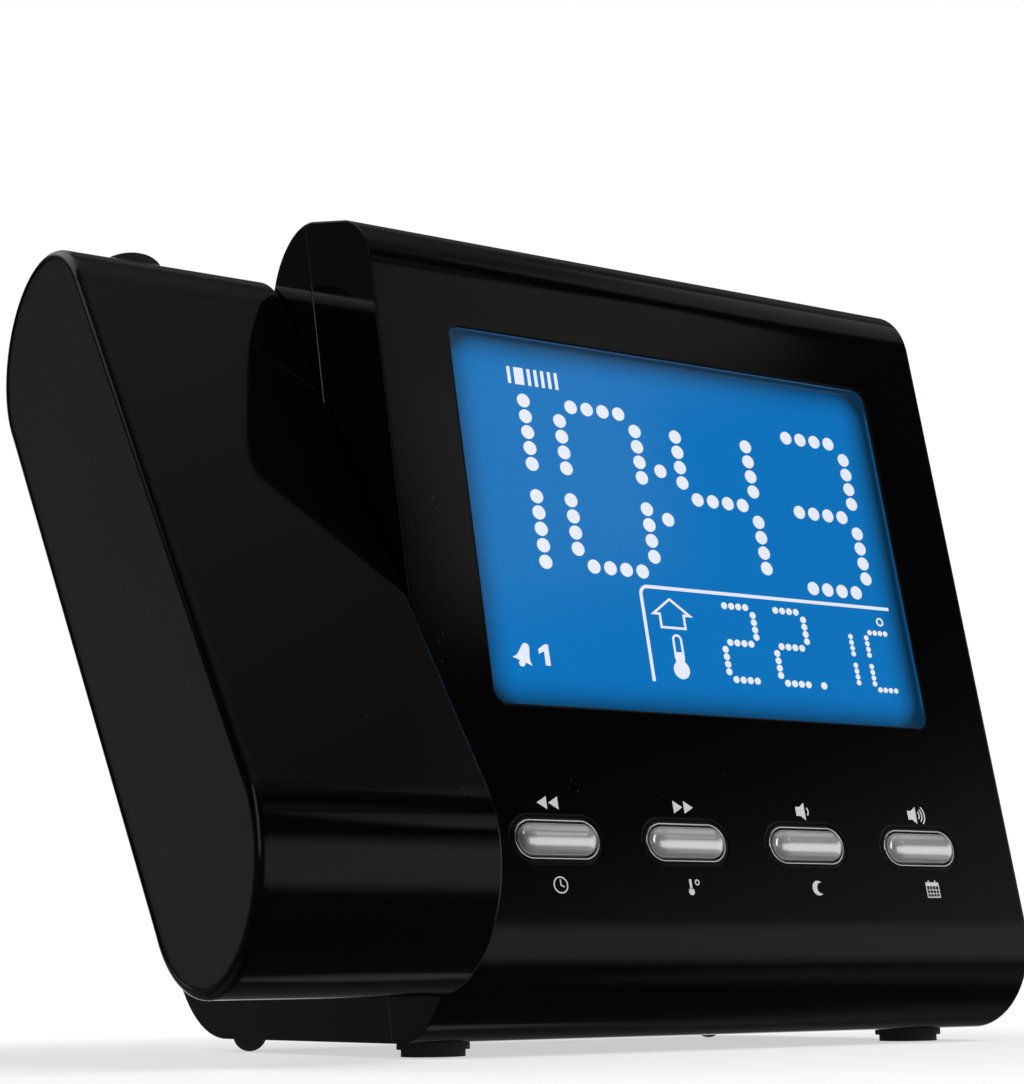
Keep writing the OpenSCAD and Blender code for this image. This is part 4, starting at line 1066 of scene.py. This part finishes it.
class CLOCK_OT_symbols(bpy.types.Operator):
    """Print the symbols above and below the front keys"""
    bl_idname = "clock.symbols"
    bl_label = "Face symbols"

    def execute(self, context):
        ink = surface_material("Pale Print", (0.55, 0.55, 0.57), 0.5, grain=3e-6, grain_scale=3000.0)
        above = (arrows(SYMBOL_X[0], -1), arrows(SYMBOL_X[1], 1), loudspeaker(SYMBOL_X[2], 1),
                 loudspeaker(SYMBOL_X[3], 3))
        below = (dial_symbol(CAPTION_X[0]), degree_symbol(CAPTION_X[1]), moon_symbol(CAPTION_X[2]),
                 calendar_symbol(CAPTION_X[3]))
        for name, upper, lower in zip(BUTTONS, above, below):
            piece(name + "_symbols", join(upper + lower), "housing", ink)
        return {"FINISHED"}


class CLOCK_OT_keys(bpy.types.Operator):
    """Make the domed chromed keys of the front face"""
    bl_idname = "clock.keys"
    bl_label = "Front keys"

    def execute(self, context):
        satin = surface_material("Satin Chrome", (0.62, 0.62, 0.61), 0.2, metallic=0.7, tone=0.03,
                                 hairline=0.1, grain=1.5e-6, grain_scale=500.0)
        chrome = bpy.data.materials["Chromed Keys"]
        black = bpy.data.materials["Polished Black Plastic"]
        for name in BUTTONS:
            made = piece(name + "_dome", key_surface(name), name, satin,
                         math.radians(40))
            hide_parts(name + "_button")
            bead = piece(name + "_bead", bead_surface(name), "housing", chrome,
                         math.radians(50))
            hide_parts("button_sockets")
            piece(name + "_bezel", bezel_surface(name), "housing", black)
        return {"FINISHED"}


class CLOCK_OT_focus(bpy.types.Operator):
    """Make the finely ridged focus ring round the projector's lens"""
    bl_idname = "clock.focus"
    bl_label = "Focus ring"

    def execute(self, context):
        black = bpy.data.materials["Fine Grained Black"]
        made = piece("focus_ring_ridged", ring_surface(), "focus_control", black,
                     math.radians(35))
        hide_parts("focus_ring")
        return {"FINISHED"}


class CLOCK_OT_studio(bpy.types.Operator):
    """Set up the pale floor, the soft lights, the world and the camera"""
    bl_idname = "clock.studio"
    bl_label = "Studio"

    def execute(self, context):
        settings = context.scene.clock_studio
        make_floor()
        make_world(context.scene)
        soft_light("key_light", KEY_LIGHT_PLACE, KEY_LIGHT_SIZE, settings.key_power)
        soft_light("rim_light", RIM_LIGHT_PLACE, RIM_LIGHT_SIZE, settings.rim_power)
        make_camera(context.scene, settings)
        context.scene.view_settings.view_transform = "Standard"
        return {"FINISHED"}


KEY_LIGHT_PLACE, KEY_LIGHT_SIZE = (0.55, -0.75, 1.05), (1.1, 0.8)
RIM_LIGHT_PLACE, RIM_LIGHT_SIZE = (-0.5, 0.9, 0.9), (1.0, 0.5)
# What the lamps face: the middle of the clock
LIGHT_AIM = (0.0, 0.0, 0.07)
# Radii of the floor, of its first wide ring and of the small plate in its middle
FLOOR_RADIUS, FLOOR_FIRST, FLOOR_MIDDLE = 3.0, 0.1, 0.002
FLOOR_RINGS, FLOOR_SIDES = 24, 96
FLOOR_TONE, FLOOR_ROUGHNESS = 0.9, 0.9
# Distances between which the floor turns to plain white, and its share of white before that
FLOOR_FADE = (0.11, 0.2)
FLOOR_PALE = 0.58


def make_floor():
    """A round pale floor: rings of points at growing radii, all at table height.

    It takes the clock's shadow, turns to the backdrop's white further out, and isn't seen in mirrors.
    """
    radius = np.concatenate(([FLOOR_MIDDLE], np.geomspace(FLOOR_FIRST, FLOOR_RADIUS, FLOOR_RINGS)))
    angle = np.linspace(0, 2 * math.pi, FLOOR_SIDES, endpoint=False)
    points = np.stack((np.outer(radius, np.cos(angle)), np.outer(radius, np.sin(angle)),
                       np.zeros((len(radius), FLOOR_SIDES))), axis=-1).reshape(-1, 3)
    faces = ring_faces(len(radius), FLOOR_SIDES, False)[:-1]
    mesh = bpy.data.meshes.new("floor")
    mesh.from_pydata(points.tolist(), [], [face[::-1] for face in faces])
    mesh.update()
    floor = bpy.data.objects.new("floor", mesh)
    bpy.context.scene.collection.objects.link(floor)
    made, tree, shader, place = start_material("Pale Floor")
    tree.links.new(toned(tree, place, grey(FLOOR_TONE), 6.0, 0.01), shader.inputs["Base Color"])
    shader.inputs["Roughness"].default_value = FLOOR_ROUGHNESS
    shader.inputs["Specular IOR Level"].default_value = 0.1
    away = add_node(tree, "ShaderNodeVectorMath", {0: place}, operation="LENGTH").outputs["Value"]
    fade = add_node(tree, "ShaderNodeMapRange",
                    {"Value": away, "From Min": FLOOR_FADE[0], "From Max": FLOOR_FADE[1],
                     "To Min": FLOOR_PALE}, interpolation_type="SMOOTHSTEP").outputs[0]
    glow = add_node(tree, "ShaderNodeEmission", {"Color": grey(1.0), "Strength": 1.0})
    pale = add_node(tree, "ShaderNodeMixShader", {0: fade, 1: shader.outputs[0], 2: glow.outputs[0]})
    clear = tree.nodes.new("ShaderNodeBsdfTransparent")
    mirrored = tree.nodes.new("ShaderNodeLightPath").outputs["Is Glossy Ray"]
    shown = add_node(tree, "ShaderNodeMixShader", {0: mirrored, 1: pale.outputs[0], 2: clear.outputs[0]})
    output = next(item for item in tree.nodes if item.type == "OUTPUT_MATERIAL")
    tree.links.new(shown.outputs[0], output.inputs[0])
    mesh.materials.append(made)


# Brightness of the bare studio by the sine of the height, from straight down to straight up
STUDIO_LEVELS = ((-1.0, 0.04), (-0.5, 0.07), (-0.1, 0.13), (0.12, 0.1), (0.4, 0.03), (0.76, 0.03),
                 (0.87, 0.17), (1.0, 0.4))
# Lit walls and soft boxes: turn to the right from the camera's side and half of it, in radians,
# sine of the height and half of it, softness of the edge, level
SOFT_BOXES = {
    "wall on the right": (0.85, 1.15, 0.01, 0.3, 0.12, 1.0),
    "strip over that wall": (1.2, 0.6, 0.3, 0.05, 0.03, 0.35),
    "narrow strip in front": (0.68, 0.06, 0.535, 0.05, 0.025, 0.8),
    "wider strip over it": (0.72, 0.11, 0.588, 0.045, 0.02, 0.6),
    "thin line over both": (0.4, 0.35, 0.68, 0.02, 0.04, 0.3),
    "high on the right": (1.45, 0.45, 0.76, 0.07, 0.03, 0.4),
    "high behind on the right": (2.3, 0.5, 0.66, 0.1, 0.1, 0.12),
    "low on the right": (1.15, 0.4, -0.5, 0.1, 0.06, 0.3),
    "lowest, behind on the right": (2.22, 0.13, -0.79, 0.035, 0.025, 0.4),
    "low, behind on the right": (1.9, 0.35, -0.69, 0.06, 0.04, 0.12),
    "low, behind on the left": (-2.45, 0.6, -0.77, 0.13, 0.1, 0.2),
    "high behind on the left": (-2.6, 0.5, 0.72, 0.2, 0.1, 1.5),
    "high, straight behind": (2.98, 0.16, 0.6, 0.2, 0.06, 0.7),
    "upright strip on the left": (-1.2, 0.12, 0.45, 0.35, 0.06, 3.0),
}
# The white backdrop behind the clock, which mirrors and glass see too: the same without a level
BACKDROP = (2.57, 0.62, 0.1, 0.28, 0.1)


def box_mask(tree, turn, rise, middle, half, height, half_height, edge):
    """One inside a box of the studio, falling softly to nothing over its edge."""
    sides = [add_node(tree, "ShaderNodeMapRange",
                      {"Value": math_node(tree, "ABSOLUTE", math_node(tree, "SUBTRACT", value, centre)),
                       "From Min": reach + edge, "From Max": reach - edge},
                      interpolation_type="SMOOTHSTEP").outputs[0]
             for value, centre, reach in ((turn, middle, half), (rise, height, half_height))]
    return math_node(tree, "MULTIPLY", *sides)


def make_world(scene):
    """A dim studio, brighter near the table's height and overhead, with soft boxes in it.

    The camera sees the backdrop's white all round. Mirrors and glass see it where it hangs.
    """
    world = bpy.data.worlds.new("studio")
    world.use_nodes = True
    tree = world.node_tree
    tree.nodes.clear()
    direction = tree.nodes.new("ShaderNodeTexCoord").outputs["Generated"]
    parts = add_node(tree, "ShaderNodeSeparateXYZ", {"Vector": direction}).outputs
    share = math_node(tree, "MULTIPLY_ADD", parts["Z"], 0.5, 0.5)
    ramp = add_node(tree, "ShaderNodeValToRGB", {"Fac": share})
    stops = ramp.color_ramp.elements
    while len(stops) < len(STUDIO_LEVELS):
        stops.new(0.5)
    for stop, (place, level) in zip(stops, STUDIO_LEVELS):
        stop.position = (place + 1) / 2
        stop.color = grey(level)
    turn = math_node(tree, "ARCTAN2", parts["X"], math_node(tree, "MULTIPLY", parts["Y"], -1.0))
    level = ramp.outputs["Color"]
    for *box, bright in SOFT_BOXES.values():
        mask = box_mask(tree, turn, parts["Z"], *box)
        level = mix_color(tree, mask, level, grey(bright), "LIGHTEN")
    rays = tree.nodes.new("ShaderNodeLightPath").outputs
    mirrored = math_node(tree, "MAXIMUM", rays["Is Glossy Ray"], rays["Is Transmission Ray"])
    mirrored = math_node(tree, "MULTIPLY", mirrored, box_mask(tree, turn, parts["Z"], *BACKDROP))
    white = math_node(tree, "MAXIMUM", rays["Is Camera Ray"], mirrored)
    color = mix_color(tree, white, level, grey(1.0))
    back = add_node(tree, "ShaderNodeBackground", {"Color": color, "Strength": 1.0})
    output = tree.nodes.new("ShaderNodeOutputWorld")
    tree.links.new(back.outputs[0], output.inputs[0])
    scene.world = world


def soft_light(name, place, size, power):
    """A rectangular soft light that faces the middle of the clock, and isn't seen in mirrors."""
    data = bpy.data.lights.new(name, "AREA")
    data.shape = "RECTANGLE"
    data.size, data.size_y = size
    data.energy = power
    lamp = bpy.data.objects.new(name, data)
    lamp.location = place
    lamp.visible_glossy = False
    lamp.visible_transmission = False
    aim = Vector(LIGHT_AIM) - lamp.location
    lamp.rotation_euler = aim.to_track_quat("-Z", "Y").to_euler()
    bpy.context.scene.collection.objects.link(lamp)


SENSOR_WIDTH, CLIP_START = 36.0, 0.01


def make_camera(scene, settings):
    """A camera turned by yaw to the right, by pitch upwards, and then by roll about its view."""
    sin_yaw, cos_yaw = math.sin(settings.yaw), math.cos(settings.yaw)
    sin_pitch, cos_pitch = math.sin(settings.pitch), math.cos(settings.pitch)
    ahead = Vector((sin_yaw * cos_pitch, cos_yaw * cos_pitch, sin_pitch))
    level = Vector((cos_yaw, -sin_yaw, 0.0))
    down = ahead.cross(level)
    right = math.cos(settings.roll) * level + math.sin(settings.roll) * down
    up = math.sin(settings.roll) * level - math.cos(settings.roll) * down
    data = bpy.data.cameras.new("camera")
    data.sensor_fit = "HORIZONTAL"
    data.sensor_width = SENSOR_WIDTH
    data.lens = settings.lens
    data.clip_start = CLIP_START
    camera = bpy.data.objects.new("camera", data)
    turn = Matrix((right, up, -ahead)).transposed().to_4x4()
    camera.matrix_world = Matrix.Translation(settings.place) @ turn
    scene.collection.objects.link(camera)
    scene.camera = camera


class CLOCK_PT_panel(bpy.types.Panel):
    """Settings and steps of the clock"""
    bl_idname = "CLOCK_PT_panel"
    bl_label = "Projection Alarm Clock"
    bl_space_type = "VIEW_3D"
    bl_region_type = "UI"
    bl_category = "Clock"

    def draw(self, context):
        for name in SETTINGS:
            group = getattr(context.scene, name)
            box = self.layout.box()
            for key in group.bl_rna.properties.keys():
                if key not in ("rna_type", "name"):
                    box.prop(group, key)
        for operator in OPERATORS:
            self.layout.operator(operator.bl_idname)


SETTINGS = {"clock_finish": ClockFinish, "clock_display": ClockDisplay, "clock_studio": ClockStudio}
OPERATORS = (CLOCK_OT_finishes, CLOCK_OT_display, CLOCK_OT_symbols, CLOCK_OT_keys, CLOCK_OT_focus,
             CLOCK_OT_studio)
CLASSES = (*SETTINGS.values(), *OPERATORS, CLOCK_PT_panel)


def register():
    """Registers the classes and hangs the settings on the scene."""
    for item in CLASSES:
        bpy.utils.register_class(item)
    for name, group in SETTINGS.items():
        setattr(bpy.types.Scene, name, bpy.props.PointerProperty(type=group))


def unregister():
    """Takes the settings and the classes away again."""
    for name in SETTINGS:
        delattr(bpy.types.Scene, name)
    for item in reversed(CLASSES):
        bpy.utils.unregister_class(item)


def main():
    """Runs every step in order."""
    register()
    bpy.ops.clock.finishes()
    bpy.ops.clock.display()
    bpy.ops.clock.symbols()
    bpy.ops.clock.keys()
    bpy.ops.clock.focus()
    bpy.ops.clock.studio()


if __name__ == "__main__":
    main()
